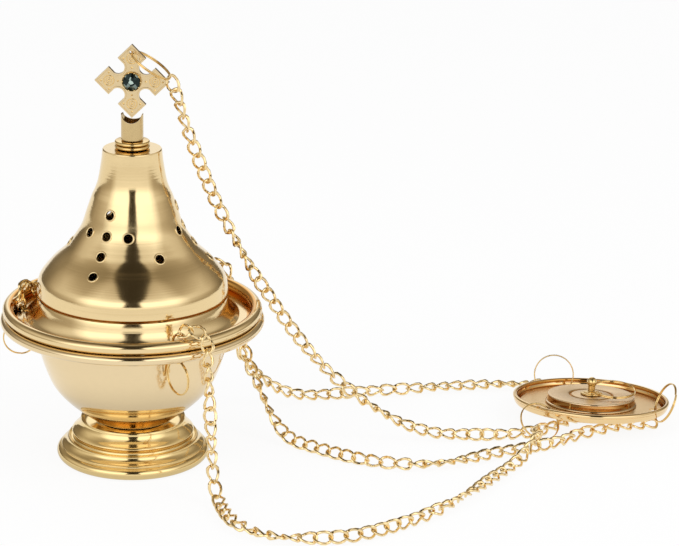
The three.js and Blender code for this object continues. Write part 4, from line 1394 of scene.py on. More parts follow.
    def left_chain(self) -> Chain:
        """Gives the chain from the left hole, which lies in the lid's gutter before it leaves.

        Returns:
            The chain.
        """
        route = [
            (-0.05654, 0.00724, 0.07515), (-0.0566, 0.0066, 0.0785), (-0.0569, 0.0044, 0.0818),
            (-0.0568, 0.0018, 0.0846), (-0.0558, 0.001, 0.0874), (-0.0546, 0.006, 0.0886),
            (-0.0534, 0.013, 0.0862), (-0.0512, 0.0214, 0.0818), (-0.0462, 0.0304, 0.0796),
            (-0.0394, 0.0386, 0.0794), (-0.0306, 0.0459, 0.0794), (-0.0204, 0.0513, 0.0794),
            (-0.0092, 0.0544, 0.0794), (0.0024, 0.0551, 0.0794), (0.0136, 0.0536, 0.0796),
            (0.0228, 0.0522, 0.0818), (0.0296, 0.0536, 0.085), (0.0362, 0.0576, 0.0846),
            (0.0394, 0.0598, 0.0796), (0.0426, 0.0602, 0.067), (0.047, 0.0598, 0.0536),
            (0.0516, 0.059, 0.0426), (0.0568, 0.0588, 0.0334), (0.0624, 0.0598, 0.0254),
            (0.0686, 0.0618, 0.018), (0.0752, 0.0648, 0.0118), (0.0826, 0.0682, 0.0072),
            (0.091, 0.0712, 0.0044), (0.101, 0.0734), (0.113, 0.0758), (0.126, 0.0784), (0.14, 0.0806),
            (0.155, 0.083), (0.17, 0.0854), (0.184, 0.0872), (0.196, 0.0882), (0.206, 0.0884),
            (0.2134, 0.0878, 0.0036), (0.219, 0.0864, 0.0042),
        ]
        near = ((0.0399, 0.0601, 0.0787), (0.126, 0.0784, 0.0035))
        far = ((0.126, 0.0784, 0.0035), (0.17, 0.0854, 0.0035))
        last = ((0.184, 0.0872, 0.0035), (0.219, 0.0864, 0.0042))
        return Chain(route, self.stretches("left", "plate_ring_back", (0.375, 0.715, 0.87), near, far, last))

    def centre_chain(self) -> Chain:
        """Gives the chain from the cross ring, which ends under the plate's middle hole.

        Returns:
            The chain.
        """
        route = [
            (0.0197, -0.0024, 0.1947), (0.0219, -0.0014, 0.1882), (0.0242, 0.0002, 0.18),
            (0.0265, 0.0016, 0.172), (0.0303, 0.0034, 0.161), (0.0352, 0.0052, 0.1476),
            (0.041, 0.0068, 0.133), (0.047, 0.008, 0.1204), (0.0522, 0.0088, 0.11), (0.0564, 0.0094, 0.102),
            (0.0604, 0.0098, 0.0946), (0.065, 0.0102, 0.087), (0.069, 0.0105, 0.081), (0.076, 0.0108, 0.07),
            (0.0816, 0.011, 0.062), (0.0876, 0.0113, 0.054), (0.0938, 0.0116, 0.0464),
            (0.0998, 0.0119, 0.0398), (0.1056, 0.0122, 0.0342), (0.1116, 0.0125, 0.0288),
            (0.1178, 0.0128, 0.0238), (0.1242, 0.0131, 0.0192), (0.131, 0.0134, 0.0148),
            (0.138, 0.0137, 0.0108), (0.146, 0.014, 0.0074), (0.155, 0.0142, 0.0048),
            (0.164, 0.0142, 0.0037), (0.175, 0.0138), (0.186, 0.0134), (0.197, 0.014), (0.208, 0.0174),
            (0.218, 0.023), (0.227, 0.0302, 0.0032), (0.235, 0.038, 0.0029), (0.241, 0.044, 0.0028),
        ]
        ring, lid, burner, plate = Body.CROSS_RING.value, Body.LID.value, Body.BURNER.value, Body.PLATE.value
        on_lid, below = ("chain_centre_lid",), ("chain_centre",)
        top = ((0.0197, -0.0024, 0.1947), (0.029, 0.0028, 0.165))
        near = ((0.069, 0.0105, 0.081), (0.155, 0.0142, 0.0048))
        far = ((0.164, 0.0142, 0.0037), (0.235, 0.038, 0.0029))
        parts = [
            Stretch("centre_chain_top", 0.09, (ring, lid), *top, replaces=on_lid),
            Stretch("centre_chain_on_lid", 0.375, (lid,), replaces=on_lid),
            Stretch("centre_chain_near", 0.72, (lid, burner), *near, replaces=below),
            Stretch("centre_chain_far", 1.0, (burner, plate), *far, replaces=below),
        ]
        return Chain(route, parts, first_link=0.0)


# Bowl and foot


@dataclass
class Foot:
    """The stepped, beaded foot."""

    radius: float = 38.6
    bead: float = 3.0
    base_height: float = 6.2
    step_inset: float = 2.4
    lower_inset: float = 3.3
    lower_height: float = 4.2
    groove_inset: float = 2.3
    upper_inset: float = 4.2
    upper_height: float = 9.8
    groove_height: float = 2.4
    crest: float = 0.6
    dish_depth: float = 2.4
    neck_radius: float = 18.0
    neck_edge: float = 0.3
    seat_drop: float = 1.0
    bead_arc: Arc = (-90, 70, 22)
    bead_tuck: Span = (0.5, 0.15)
    step_lip: float = 0.4
    lower_lip: float = 0.25
    groove_lip: float = 0.3
    upper_lip: float = 0.2
    wall: float = 1.2
    inner_slack: float = 0.6
    inner_share: float = 0.3
    inner_step: float = 0.4
    inner_bead: float = 1.5
    sole_gap: float = 0.05
    bore: float = 2.85
    tier_shares: tuple[Span, ...] = (
        (0.04, 0.08), (0.08, 0.2), (0.25, 0.42), (0.55, 0.64), (0.86, 0.82), (1.0, 0.93), (0.97, 1.0),
    )
    groove_shares: tuple[Span, ...] = ((0.3, -0.08), (0.75, -0.3), (1.2, -0.18), (1.38, 0.25), (1.25, 0.7))
    dish_shares: tuple[Span, ...] = ((0.12, 0.3), (0.3, 0.85), (0.6, 1.0), (0.9, 0.9), (1.0, 0.75))

    def build(self) -> list[Piece]:
        """Spins the foot.

        Returns:
            The piece.
        """
        bead_circle = self.radius - self.bead
        step = self.radius - self.step_inset
        lower_edge = step - self.lower_inset
        tier_base = self.base_height + self.lower_height
        lower_top = tier_base + self.crest
        groove = lower_edge - self.groove_inset
        groove_floor = lower_top + self.groove_height
        upper_edge = groove - self.upper_inset
        top = tier_base + self.upper_height
        crest_top = top + self.crest
        seat = top - self.seat_drop
        ceiling = top - self.dish_depth - self.wall
        bead_end = (bead_circle + self.bead_tuck[0], self.base_height - self.bead_tuck[1])
        step_edge = (step, self.base_height + self.step_lip)
        lower_tier = shares((lower_edge, lower_top), step_edge, self.tier_shares)[::-1]
        upper_corner = (groove + self.groove_lip, groove_floor)
        upper_tier = shares((upper_edge, crest_top), upper_corner, self.tier_shares)[::-1]
        groove_run = shares((lower_edge, lower_top), (groove, groove_floor), self.groove_shares)
        dish = shares((upper_edge, crest_top), (self.neck_radius, top - self.dish_depth), self.dish_shares)
        outside = [
            *arc(bead_circle, self.bead, self.bead, *self.bead_arc),
            *smooth_profile([bead_end, *lower_tier, (lower_edge - self.lower_lip, lower_top)], 5),
            *smooth_profile([*groove_run, *upper_tier, (upper_edge - self.upper_lip, crest_top)], 5),
            *smooth_profile(dish),
            (self.neck_radius, seat - self.neck_edge),
            (self.neck_radius - self.neck_edge, seat),
        ]
        inner_groove = groove - self.wall - self.crest
        inside = [
            (self.bore, seat),
            (self.bore, ceiling),
            (upper_edge - self.wall, ceiling),
            (inner_groove, tier_base + self.inner_share * self.upper_height),
            (inner_groove, tier_base - self.inner_slack),
            (step - self.wall - self.inner_slack, self.base_height - self.inner_step),
            (bead_circle, self.bead * self.inner_bead),
            (bead_circle, self.sole_gap),
        ]
        return [finished(spin([*outside, *inside]), "spun_foot", FOOT_GOLD, Body.BURNER, ("foot",))]


@dataclass
class Bowl:
    """The round bowl with its wide flange and rolled rim."""

    wall: float = 1.0
    floor_radius: float = 17.4
    depth: float = 46.45
    mouth_radius: float = 48.6
    cove: float = 4.8
    hole_to_rim: float = 9.2
    bead: float = 2.4
    bead_arc: Arc = (-140, 205, 30)
    bead_overlap: float = 1.0
    flat_steps: int = 9
    bore: float = 2.85
    floor_edge: float = 0.6
    side_shares: tuple[Span, ...] = (
        (0, 0), (0.135, 0.052), (0.365, 0.172), (0.587, 0.312), (0.737, 0.443), (0.843, 0.603),
        (0.933, 0.797), (0.968, 0.926), (1, 1),
    )
    cove_shares: tuple[Span, ...] = ((0.1, 0.25), (0.27, 0.5), (0.63, 0.85), (1, 1))

    def build(self) -> list[Piece]:
        """Spins the bowl's sheet, opens its chain holes and rolls its rim.

        Returns:
            The piece.
        """
        low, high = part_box("bowl")
        floor = low.z / MM
        mouth = floor + self.depth
        flange_radius = self.mouth_radius + self.cove
        flange = mouth + self.cove
        bead_circle = CHAIN_HOLE_CIRCLE + self.hole_to_rim - self.bead
        corner = (self.mouth_radius, mouth)
        side = smooth_profile(shares((self.floor_radius, floor), corner, self.side_shares))
        cove = smooth_profile(shares(corner, (flange_radius, flange), self.cove_shares), 5)
        flat = level_run(flange_radius, bead_circle - self.bead_overlap, flange, self.flat_steps)[1:]
        bottom = [(self.bore, floor), (self.floor_radius - self.floor_edge, floor)]
        sheet = spin([*bottom, *side, *cove, *flat], closed=False)
        pierce_round(sheet, CHAIN_HOLE_CIRCLE, CHAIN_HOLES, flange, CHAIN_HOLE_RADIUS)
        bm = solidified(sheet, self.wall)
        bead_height = high.z / MM - self.bead
        merge(bm, spin(arc(bead_circle, bead_height, self.bead, *self.bead_arc)))
        return [finished(bm, "spun_bowl", PALE, Body.BURNER, ("bowl",))]


@dataclass
class CharcoalPan:
    """The loose pan in the bowl, with a lip and a few pressed rings in its floor."""

    wall: float = 1.0
    base_share: float = 0.765
    base_rise: float = 0.2
    ring_count: int = 3
    ring_depth: float = 0.35
    ring_half_width: float = 1.2
    ring_places: Span = (0.3, 0.22)
    side_shares: tuple[Span, ...] = ((-0.08, 0.02), (0.12, 0.1), (0.45, 0.38), (0.76, 0.7), (1.0, 0.95))

    def build(self) -> list[Piece]:
        """Spins the pan inside its solid's outline.

        Returns:
            The piece.
        """
        low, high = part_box("charcoal_pan")
        floor, top, rim = low.z / MM, high.z / MM, high.x / MM
        base = rim * self.base_share
        level = floor + self.base_rise
        outside = [(0, level)]
        for i in range(self.ring_count):
            at = base * (self.ring_places[0] + self.ring_places[1] * i)
            outside += [(at - self.ring_half_width, level), (at, level + self.ring_depth)]
            outside.append((at + self.ring_half_width, level))
        outside += smooth_profile(shares((base, floor), (rim, top), self.side_shares))
        inside = inner_face(outside, self.wall)
        inside[-1] = (0, inside[-1][1])
        bm = spin([*outside, *inside])
        return [finished(bm, "pressed_pan", PAN_STEEL, Body.PAN, ("charcoal_pan",))]


# Lid


@dataclass
class Lid:
    """The vented bell lid with its gutter and rolled rim."""

    wall: float = 0.9
    height: float = 86.0
    top_radius: float = 14.7
    shoulder_step: float = 5.9
    shoulder_height: float = 62.4
    bell_height: float = 16.9
    bell_bulge: float = 0.7
    cove_width: float = 6.6
    cove_setback: float = 0.35
    cove_height: float = 10.4
    gutter_inner: float = 3.4
    gutter_outer: float = 1.8
    rim_radius: float = 65.0
    bead: float = 2.9
    bead_rise: float = 2.9
    bead_arc: Arc = (-125, 225, 30)
    bore: float = 2.55
    vent_radius: float = 2.4
    vent_edge: float = 0.46
    vent_edge_arc: Arc = (0, 324, 9)
    vent_edge_steps: int = 32
    vent_rows: tuple[float, ...] = (56.8, 46.9, 38.0, 30.0)
    vent_arm: float = 25.5
    vent_groups: int = 3
    vent_first: float = -120.0
    vent_single: float = 55.5
    vent_single_height: float = 37.4
    top_edge: float = 0.4
    trough: Span = (1.0, 0.35)
    top_steps: int = 12
    gutter_steps: int = 8
    steps: int = 224
    neck_shares: tuple[Span, ...] = (
        (0.0, 0.02), (0.02, 0.06), (0.1, 0.25), (0.27, 0.52), (0.45, 0.73), (0.68, 0.89),
    )
    shoulder_shares: tuple[Span, ...] = (
        (-0.03, -0.01), (0.0, 0.04), (0.078, 0.176), (0.178, 0.352), (0.362, 0.527), (0.48, 0.616),
        (0.716, 0.747), (0.9, 0.875), (0.968, 0.95), (0.995, 1.03), (1.01, 1.1), (1.0, 1.135),
    )
    cove_shares: tuple[Span, ...] = ((0.0, 0.0), (0.08, 0.13), (0.27, 0.52), (0.59, 0.84), (1, 1))

    def build(self) -> list[Piece]:
        """Spins the lid's sheet, opens its vents and chain holes and rolls its rim.

        Returns:
            The piece.
        """
        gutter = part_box("lid")[1].z / MM - self.height
        bell = self.bell_profile(gutter)
        rolled = (self.vent_radius + self.vent_edge / 2, -self.vent_edge / 4, self.vent_edge)
        edges = []
        sheet = spin(bell[::-1], steps=self.steps, closed=False)
        for azimuth, row in self.vents():
            radius, lean = radius_at(bell, gutter + row)
            turn = math.radians(azimuth)
            direction = polar(math.cos(lean), turn, math.sin(lean))
            centre = polar(radius, turn, gutter + row)
            pierce(sheet, centre, direction, self.vent_radius)
            lie = direction.to_track_quat("Z", "X").to_matrix().to_4x4()
            edge = spin(arc(*rolled, *self.vent_edge_arc), self.vent_edge_steps)
            edges.append((edge, Matrix.Translation(centre) @ lie))
        pierce_round(sheet, CHAIN_HOLE_CIRCLE, CHAIN_HOLES, gutter, CHAIN_HOLE_RADIUS)
        bm = solidified(sheet, self.wall)
        merge(bm, spin(arc(self.rim_radius - self.bead, gutter + self.bead_rise, self.bead, *self.bead_arc)))
        for edge, place in edges:
            merge(bm, edge, place)
        return [finished(bm, "spun_lid", SPUN, Body.LID, ("lid",))]

    def vents(self) -> list[tuple[float, float]]:
        """Lists azimuth and row of each vent.

        Returns:
            Three crosses of six vents, with one more between each two.
        """
        found = []
        for i in range(self.vent_groups):
            azimuth = self.vent_first + 360 / self.vent_groups * i
            found += [(azimuth, row) for row in self.vent_rows]
            found += [(azimuth + side * self.vent_arm, self.vent_rows[1]) for side in (-1, 1)]
            found.append((azimuth + self.vent_single, self.vent_single_height))
        return found

    def bell_profile(self, gutter: float) -> Profile:
        """Draws the outside from the flat top down to the gutter's outer edge.

        Args:
            gutter: Height of the gutter's floor.

        Returns:
            The falling profile.
        """
        top = gutter + self.height
        shoulder = (self.top_radius + self.shoulder_step, gutter + self.shoulder_height)
        inner_edge = (CHAIN_HOLE_CIRCLE - self.gutter_inner, gutter)
        corner = inner_edge[0] - self.cove_width
        cove = (corner + self.cove_setback, gutter + self.cove_height)
        bell = (corner + self.bell_bulge, gutter + self.bell_height)
        return [
            *level_run(self.bore, self.top_radius - self.top_edge, top, self.top_steps),
            *smooth_profile(shares((self.top_radius, top), shoulder, self.neck_shares), 7),
            *smooth_profile([*shares(shoulder, bell, self.shoulder_shares), cove], 10),
            *smooth_profile(shares(cove, inner_edge, self.cove_shares), 6)[1:],
            *level_run(inner_edge[0], CHAIN_HOLE_CIRCLE + self.gutter_outer, gutter, self.gutter_steps)[1:],
            (self.rim_radius - self.bead - self.trough[0], gutter + self.trough[1]),
        ]


# Cross, post and collars


@dataclass
class Finial:
    """The collars, post and cross on top of the lid."""

    collar_radius: float = 8.7
    collar_bore: float = 2.6
    collar_arc: Arc = (-80, 80, 12)
    post_radius: float = 5.5
    post_wall: float = 0.7
    post_lift: float = 0.35
    post_drop: float = 1.6
    post_depth: float = 9.0
    post_chamfer: float = 0.25
    grip: float = 5.5
    saddle_radius: float = 4.8
    saddle_depth: float = 3.8
    rim_margin: float = 0.01
    stud_radius: float = 2.2
    reach: float = 18.4
    corner: float = 6.9
    notch_radius: float = 3.4
    notch_start: float = 2.1
    thickness: float = 2.2
    hole_radius: float = 1.15
    hole_depth: float = 4.1
    notch_steps: int = 12
    hole_steps: int = 20
    border: float = 0.75
    field_slope: float = 0.12
    field_depth: float = 0.22
    facing: float = 0.9
    struck_inset: float = 0.2
    struck_sink: float = 0.16
    struck_rings: tuple[tuple[float, float, int], ...] = ((2.5, 0.27, 40), (1.35, 0.2, 30))
    struck_arc: Arc = (0, 330, 11)
    dot: float = 0.6
    diamond: float = 0.62
    diamond_corners: int = 4
    diamond_places: tuple[Span, ...] = ((-4.4, 0), (3.9, 0), (0, 4.1), (0, -4.1))
    bezel_radius: float = 4.75
    bezel_wall: float = 0.3
    bezel_height: float = 1.1
    bezel_crown: float = 1.35
    bezel_gap: float = 0.05
    claw: float = 0.34
    claw_inset: float = 0.25
    claws: int = 10
    claw_segments: int = 10
    stone_radius: float = 4.4
    stone_height: float = 1.92
    stone_seat: float = 0.35
    stone_sides: int = 12
    stone_rings: tuple[Triple, ...] = ((1.0, 0.0, 0.0), (1.0, 0.35, 0.0), (0.8, 0.62, 0.5), (0.52, 1.0, 0.0))

    def build(self) -> list[Piece]:
        """Builds collars, post, cross, setting and stone."""
        return [self.collars(), self.post(), self.cross(), self.ornament(), self.setting(), self.stone()]

    def collars(self) -> Piece:
        """Spins the two stacked collar rings.

        Returns:
            Both as one piece.
        """
        bm = bmesh.new()
        for node in ("collar_lower", "collar_upper"):
            low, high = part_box(node)
            half = (high.z - low.z) / MM / 2
            middle = (high.z + low.z) / MM / 2
            rim = arc(self.collar_radius - half, middle, half, *self.collar_arc)
            section = [(self.collar_bore, middle - half), *rim, (self.collar_bore, middle + half)]
            merge(bm, spin(section, SMALL_STEPS * 2))
        return finished(bm, "collar_rings", PLATED, Body.LID, ("collar_lower", "collar_upper"))

    def post(self) -> Piece:
        """Spins the hollow post and sinks its rim to the half-round saddle.

        Returns:
            The piece.
        """
        low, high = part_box("post")
        top = high.z / MM - self.post_drop
        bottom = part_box("collar_upper")[1].z / MM + self.post_lift
        radius, chamfer = self.post_radius, self.post_chamfer
        bore = radius - self.post_wall
        profile = [
            (0, low.z / MM), (self.stud_radius, low.z / MM), (self.stud_radius, bottom),
            (radius - chamfer, bottom), (radius, bottom + chamfer), (radius, top - self.grip), (radius, top),
            (bore, top), (bore, top - self.grip), (bore, top - self.post_depth), (0, top - self.post_depth),
        ]
        bm = spin(profile, SMALL_STEPS * 2)
        across = polar(1, math.radians(CROSS_TURN))
        for vert in bm.verts:
            aside = abs(vert.co.dot(across))
            if vert.co.z > top - self.rim_margin and aside < self.saddle_radius:
                vert.co.z -= self.saddle_depth * math.sqrt(1 - (aside / self.saddle_radius) ** 2)
        return finished(bm, "saddle_post", POST_GOLD, Body.LID, ("post",))

    def frame(self) -> Matrix:
        """Gives the cross's own frame in millimetres: X to the right, Y up, Z towards the front."""
        low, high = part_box("cross")
        return Matrix.Translation((0, 0, (low.z + high.z) / 2 / MM)) @ cross_turn()

    def outline(self) -> list[Vector]:
        """Draws the outline of the four square arms and the round notches between them.

        Returns:
            The outline's points.
        """
        square = self.reach - self.corner
        points = []
        for arm in range(4):
            turn = Matrix.Rotation(arm * math.pi / 2, 3, "Z")
            start = Vector((square - self.notch_start, self.corner - self.notch_start, 0))
            points += [turn @ Vector((square, -self.corner, 0)), turn @ Vector((self.reach, 0, 0))]
            points += [turn @ Vector((square, self.corner, 0)), turn @ start]
            centre = Vector((self.corner, self.corner, 0))
            first = math.atan2(start.y - centre.y, start.x - centre.x)
            last = math.pi / 2 - first - FULL_TURN
            for i in range(1, self.notch_steps):
                angle = first + (last - first) * i / self.notch_steps
                points.append(turn @ (centre + self.notch_radius * polar(1, angle)))
            points.append(turn @ Vector((start.y, start.x, 0)))
        return points

    def cross(self) -> Piece:
        """Fills the outline round its ring hole, thickens it and sinks the field inside the border.

        Returns:
            The piece.
        """
        bm = bmesh.new()
        hole_centre = Vector((0, self.reach - self.hole_depth, 0))
        turns = (FULL_TURN * i / self.hole_steps for i in range(self.hole_steps))
        hole = [hole_centre + self.hole_radius * polar(1, turn) for turn in turns]
        edges = []
        for loop in (self.outline(), hole):
            verts = [bm.verts.new(point - Vector((0, 0, self.thickness / 2))) for point in loop]
            edges += [bm.edges.new((verts[i - 1], verts[i])) for i in range(len(verts))]
        bmesh.ops.triangle_fill(bm, use_beauty=True, use_dissolve=False, edges=edges)
        raised = bmesh.ops.extrude_face_region(bm, geom=bm.faces[:])
        top = [item for item in raised["geom"] if isinstance(item, bmesh.types.BMVert)]
        bmesh.ops.translate(bm, vec=(0, 0, self.thickness), verts=top)
        bmesh.ops.recalc_face_normals(bm, faces=bm.faces)
        for side in (1, -1):
            faces = [face for face in bm.faces if face.normal.z * side > self.facing]
            for width, depth in ((self.border, 0), (self.field_slope, -self.field_depth)):
                faces = [face for face in faces if face.is_valid]
                bmesh.ops.inset_region(bm, faces=faces, thickness=width, depth=depth, use_even_offset=True)
        return finished(bm, "struck_cross", STRUCK, Body.LID, ("cross",), place=self.frame())

    def ornament(self) -> Piece:
        """Raises a ring, a dot and small diamonds on each arm, front and back.

        Returns:
            All of it as one piece.
        """
        bm = bmesh.new()
        centre = self.reach - self.corner - self.struck_inset
        face = self.thickness / 2 - self.struck_sink
        for side in (0, math.pi):
            flip = Matrix.Rotation(side, 4, "Y")
            for arm in range(4):
                turn = flip @ Matrix.Rotation(arm * math.pi / 2, 4, "Z")
                middle = turn @ Matrix.Translation((centre, 0, face))
                for radius, wire_radius, steps in self.struck_rings:
                    merge(bm, spin(arc(radius, 0, wire_radius, *self.struck_arc), steps), middle)
                merge(bm, self.bead(self.dot), middle)
                for x, y in self.diamond_places:
                    place = turn @ Matrix.Translation((centre + x, y, face))
                    merge(bm, self.bead(self.diamond, self.diamond_corners), place)
        return finished(bm, "cross_ornament", PLATED, Body.LID, place=self.frame())

    @staticmethod
    def bead(radius: float, segments: int = 14, flatness: float = 0.6) -> Shape:
        """Makes a low boss, or a diamond where it has four segments.

        Args:
            radius: Its radius.
            segments: Its segments.
            flatness: Its height as a share of its width.

        Returns:
            The shape.
        """
        bm = bmesh.new()
        bmesh.ops.create_uvsphere(bm, u_segments=segments, v_segments=max(2, segments // 2), radius=radius)
        bmesh.ops.scale(bm, vec=(1, 1, flatness), verts=bm.verts)
        return bm

    def setting(self) -> Piece:
        """Makes the stone's cup and its claws.

        Returns:
            Both as one piece.
        """
        base = self.thickness / 2 + self.bezel_gap
        radius, wall = self.bezel_radius, self.bezel_wall
        top, crown = base + self.bezel_height, base + self.bezel_crown
        cup = [(radius - wall, base), (radius, base), (radius, top)]
        cup += [(radius - wall / 2, crown), (radius - wall, top)]
        bm = spin(cup, SMALL_STEPS)
        for i in range(self.claws):
            turn = Matrix.Rotation(FULL_TURN * i / self.claws, 4, "Z")
            place = turn @ Matrix.Translation((radius - self.claw_inset, 0, crown))
            merge(bm, self.bead(self.claw, self.claw_segments), place)
        return finished(bm, "stone_setting", PLATED, Body.LID, ("bezel",), place=self.frame())

    def stone(self) -> Piece:
        """Cuts the stone as the hull of its girdle, its crown ring and its table.

        Returns:
            The piece.
        """
        bm = bmesh.new()
        base = self.thickness / 2 + self.stone_seat
        for reach, rise, shift in self.stone_rings:
            for i in range(self.stone_sides):
                angle = FULL_TURN * (i + shift) / self.stone_sides
                bm.verts.new(polar(reach * self.stone_radius, angle, base + rise * self.stone_height))
        bmesh.ops.convex_hull(bm, input=bm.verts)
        bmesh.ops.recalc_face_normals(bm, faces=bm.faces)
        return finished(bm, "cut_stone", STONE, Body.LID, ("gem",), place=self.frame(), flat=True)


# Split rings


@dataclass
class SplitRing:
    """A split ring of two turns of thin wire that passes through a hole. Its name is also its body's."""

    name: str
    radius: float
    hole: Vector
    outwards: Vector
    along_wire: Vector
    wire_radius: float = 0.34
    spread: float = 0.35
    crossing: float = 0.09
    points_each_turn: int = 56

    def build(self) -> Piece:
        """Winds the wire twice round, with its ends and its crossing on the far side from the hole.

        Returns:
            The piece.
        """
        normal = self.outwards.cross(self.along_wire).normalized()
        centre = self.hole + self.outwards * self.radius
        count = 2 * self.points_each_turn
        points = []
        for i in range(count + 1):
            turns = 0.5 + 2 * i / count
            side = max(-1.0, min(1.0, (turns - 1.5) / self.crossing))
            angle = FULL_TURN * turns
            ring = -math.cos(angle) * self.outwards + math.sin(angle) * self.along_wire
            points.append(centre + self.radius * ring + normal * self.spread * side)
        return finished(wire(points, self.wire_radius), f"split_{self.name}", PLATED, self.name, (self.name,))


def ring_directions(heading: float, rise: float, roll: float) -> tuple[Vector, Vector]:
    """Gives how a ring lies, as the heading and rise of its centre from its hole, and the roll of its plane.

    Args:
        heading: Heading in degrees.
        rise: Rise in degrees.
        roll: Roll in degrees.

    Returns:
        The direction to the centre, and the wire's direction in the hole.
    """
    h, r, o = (math.radians(angle) for angle in (heading, rise, roll))
    outwards = polar(math.cos(r), h, math.sin(r))
    side = Vector((-math.sin(h), math.cos(h), 0))
    up = outwards.cross(side)
    return outwards, side * math.cos(o) + up * math.sin(o)


@dataclass
class SplitRings:
    """All eight split rings."""

    cross_ring_radius: float = 11.2
    cross_ring_slope: float = 33.0
    stop_ring_radius: float = 8.6
    stop_ring_turn: float = 12.0
    plate_ring_radius: float = 10.6
    plate_ring_lies: tuple[Triple, ...] = ((166, 43, 102), (211, -11.5, 133), (-64.7, 36.9, 64))
    hanging_ring_radius: float = 11.6
    hanging_ring_lie: Triple = (-4, 0, 8.5)
    knob_hole_height: float = 9.15

    def build(self) -> list[Piece]:
        """Builds the cross ring, the stop rings, the plate rings and the hanging ring."""
        return [ring.build() for ring in (self.cross_ring(), *self.stop_rings(), *self.plate_rings())]

    def cross_ring(self) -> SplitRing:
        """Gives the ring through the cross's top arm.

        Returns:
            The ring.
        """
        finial = Finial()
        frame = finial.frame()
        hole = frame @ Vector((0, finial.reach - finial.hole_depth, 0))
        turn = frame.to_3x3()
        outwards = turn @ polar(1, -math.radians(self.cross_ring_slope))
        return SplitRing("cross_ring", self.cross_ring_radius, hole, outwards, turn @ UP)

    def stop_rings(self) -> list[SplitRing]:
        """Gives the rings below the bowl's flange.

        Returns:
            The three rings.
        """
        rings = []
        for side, azimuth in zip(CHAIN_SIDES, CHAIN_HOLES):
            top = polar(CHAIN_HOLE_CIRCLE, azimuth, STOP_RING_HEIGHT)
            along = polar(1, azimuth + math.radians(self.stop_ring_turn))
            rings.append(SplitRing(f"stop_ring_{side}", self.stop_ring_radius, top, -UP, along))
        return rings

    def plate_rings(self) -> list[SplitRing]:
        """Gives the rings of the hand plate and the ring that it hangs by.

        Returns:
            The four rings.
        """
        frame = plate_frame()
        turn = frame.to_3x3()
        rings = []
        for (side, azimuth), lie in zip(PLATE_HOLES.items(), self.plate_ring_lies):
            hole = frame @ polar(PLATE_HOLE_CIRCLE, azimuth, PLATE_WALL / 2)
            outwards, along = (turn @ way for way in ring_directions(*lie))
            rings.append(SplitRing(f"plate_ring_{side}", self.plate_ring_radius, hole, outwards, along))
        outwards, along = (turn @ way for way in ring_directions(*self.hanging_ring_lie))
        hole = frame @ Vector((0, 0, self.knob_hole_height))
        rings.append(SplitRing("hanging_ring", self.hanging_ring_radius, hole, outwards, along))
        return rings


# Hand plate


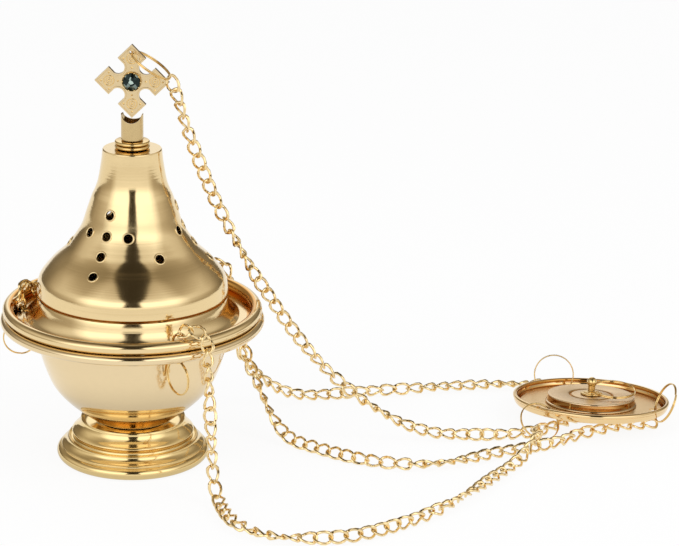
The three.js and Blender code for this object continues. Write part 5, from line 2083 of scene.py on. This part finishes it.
@dataclass
class HandPlate:
    """The shallow hand plate, its lifting disc and knob."""

    radius: float = 41.7
    wall_run: float = 4.3
    depth: float = 5.0
    wall_shares: tuple[Span, ...] = ((0, 0), (0.45, 0.02), (0.68, 0.1), (0.83, 0.3), (0.93, 0.62))
    bead: float = 1.15
    bead_rise: float = 0.1
    bead_arc: Arc = (0, 345, 23)
    centre_hole: float = 6.0
    hole_radius: float = 3.1
    plate_steps: int = 192
    flat_steps: int = 36
    disc_radius: float = 23.8
    disc_top: float = 6.0
    disc_wall: float = 1.0
    disc_lip: float = 0.5
    disc_lip_arc: Arc = (-90, 90, 10)
    disc_bore: float = 1.95
    disc_corner: float = 0.6
    disc_corner_arc: Arc = (10, 90, 8)
    disc_side: tuple[Span, ...] = ((0.25, 1.2), (0.45, 2.4))
    disc_side_end: Span = (0.55, 1.1)
    plate_top: float = 1.25
    groove_radius: float = 11.3
    groove_shape: tuple[Span, ...] = ((1.2, 0.0), (0.8, 0.2), (0.0, 0.8), (-0.8, 0.2), (-1.2, 0.0))
    knob_flange: float = 6.0
    knob_bottom: float = 6.35
    knob_pin: float = 1.6
    knob_pin_length: float = 3.0
    flange_height: float = 1.3
    flange_lip: Span = (0.2, 0.25)
    flange_round: float = 0.45
    flange_arc: Arc = (0, 90, 6)
    flange_step: Span = (1.7, 0.95)
    flange_crown: Span = (2.1, 0.3)
    crown_round: float = 0.4
    crown_arc: Arc = (10, 90, 5)
    neck_foot: Span = (0.3, 0.15)
    neck_start: float = 0.5
    knob_neck: float = 1.9
    neck_height: float = 2.4
    ball: float = 2.7
    ball_end: float = 89.0
    ball_steps: int = 16
    knob_steps: int = 96

    def build(self) -> list[Piece]:
        """Builds plate, disc and knob."""
        return [self.plate(), self.disc(), self.knob()]

    def plate(self) -> Piece:
        """Spins the plate's sheet, opens its holes and rolls its rim.

        Returns:
            The piece.
        """
        floor = self.radius - self.wall_run
        wall = smooth_profile(shares((floor, 0), (self.radius, self.depth), self.wall_shares), 7)
        flat = level_run(self.centre_hole, floor, 0, self.flat_steps)[:-1]
        sheet = spin([*flat, *wall], self.plate_steps, closed=False)
        pierce_round(sheet, PLATE_HOLE_CIRCLE, PLATE_HOLES.values(), 0, self.hole_radius)
        bm = solidified(sheet, PLATE_WALL)
        rim = arc(self.radius - self.bead, self.depth - self.bead + self.bead_rise, self.bead, *self.bead_arc)
        merge(bm, spin(rim, self.plate_steps))
        return finished(bm, "hand_plate", SATIN_PLATE, Body.PLATE, ("suspension_plate",), plate_frame())

    def disc(self) -> Piece:
        """Spins the lifting disc with its turned circle and its flared edge.

        Returns:
            The piece.
        """
        top, bottom = self.disc_top, self.plate_top
        radius, wall = self.disc_radius, self.disc_wall
        inside = radius - self.disc_lip - wall
        shoulder, corner = radius - self.disc_side_end[0], self.disc_corner
        side = [(radius - inset, bottom + rise) for inset, rise in self.disc_side]
        groove = [(self.groove_radius + out, top - down) for out, down in self.groove_shape]
        profile = [
            *arc(radius, bottom + self.disc_lip, self.disc_lip, *self.disc_lip_arc),
            *smooth_profile([*side, (shoulder, top - self.disc_side_end[1])], 4),
            *arc(shoulder - corner, top - corner, corner, *self.disc_corner_arc),
            *smooth_profile(groove, 4),
            (self.disc_bore, top),
            (self.disc_bore, top - wall),
            (inside, top - wall),
            (inside, bottom),
        ]
        return finished(spin(profile), "lifting_disc", SATIN_DISC, Body.DISC, ("pull_disc",), plate_frame())

    def knob(self) -> Piece:
        """Spins the stepped flange, neck and ball of the knob.

        Returns:
            The piece.
        """
        low, flange, edge = self.knob_bottom, self.knob_flange, self.flange_round
        flange_top = low + self.flange_height
        crown = (flange - self.flange_crown[0], flange_top - self.flange_crown[1])
        ball_centre = flange_top + self.neck_height + self.ball
        start = -math.degrees(math.acos(self.knob_neck / self.ball))
        profile = [
            (0, low - self.knob_pin_length),
            (self.knob_pin, low - self.knob_pin_length),
            (self.knob_pin, low),
            (flange - self.flange_lip[0], low),
            (flange, low + self.flange_lip[1]),
            *arc(flange - edge, low + edge, edge, *self.flange_arc),
            (flange - self.flange_step[0], low + self.flange_step[1]),
            *arc(*crown, self.crown_round, *self.crown_arc),
            (self.knob_neck + self.neck_foot[0], flange_top + self.neck_foot[1]),
            (self.knob_neck, flange_top + self.neck_start),
            *arc(0, ball_centre, self.ball, start, self.ball_end, self.ball_steps),
            (0, ball_centre + self.ball),
        ]
        bm = spin(profile, self.knob_steps)
        return finished(bm, "knob", PLATED, Body.DISC, ("pull_knob",), plate_frame())


# Plain solids that stay


@dataclass
class Fasteners:
    """The turned fasteners and discs whose plain solids are right as they are."""

    steel: tuple[str, ...] = ("foot_screw", "foot_washer", "foot_nut", "lid_washer", "lid_nut")
    brass: tuple[str, ...] = ("foot_bottom_disc", "pull_eye")

    def build(self, nodes: dict[str, bpy.types.Object]) -> list[Piece]:
        """Gives them their finishes.

        Args:
            nodes: The plain solids by name.

        Returns:
            The dressed solids.
        """
        dressed = []
        for names, finish in ((self.steel, SCREW_STEEL), (self.brass, PALE)):
            for name in names:
                mesh = nodes[name].data
                mesh.materials.clear()
                mesh.materials.append(finish.material())
                dressed.append(nodes[name])
        return dressed


def main() -> None:
    """Builds every sub-assembly in order."""
    logging.basicConfig(level=logging.INFO, format="%(name)s: %(message)s")
    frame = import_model()
    add_spun_lines_group()
    add_wear_group()
    add_stipple_group()
    Studio().build()
    parts = (Chains(), Foot(), Bowl(), CharcoalPan(), Lid(), Finial(), SplitRings(), HandPlate())
    for part in parts:
        for piece in part.build():
            LOG.info("%s: %d faces", piece.name, len(piece.data.polygons))
    for piece in Fasteners().build(frame["nodes"]):
        LOG.info("%s: plain solid, dressed", piece.name)


if __name__ == "__main__":
    main()
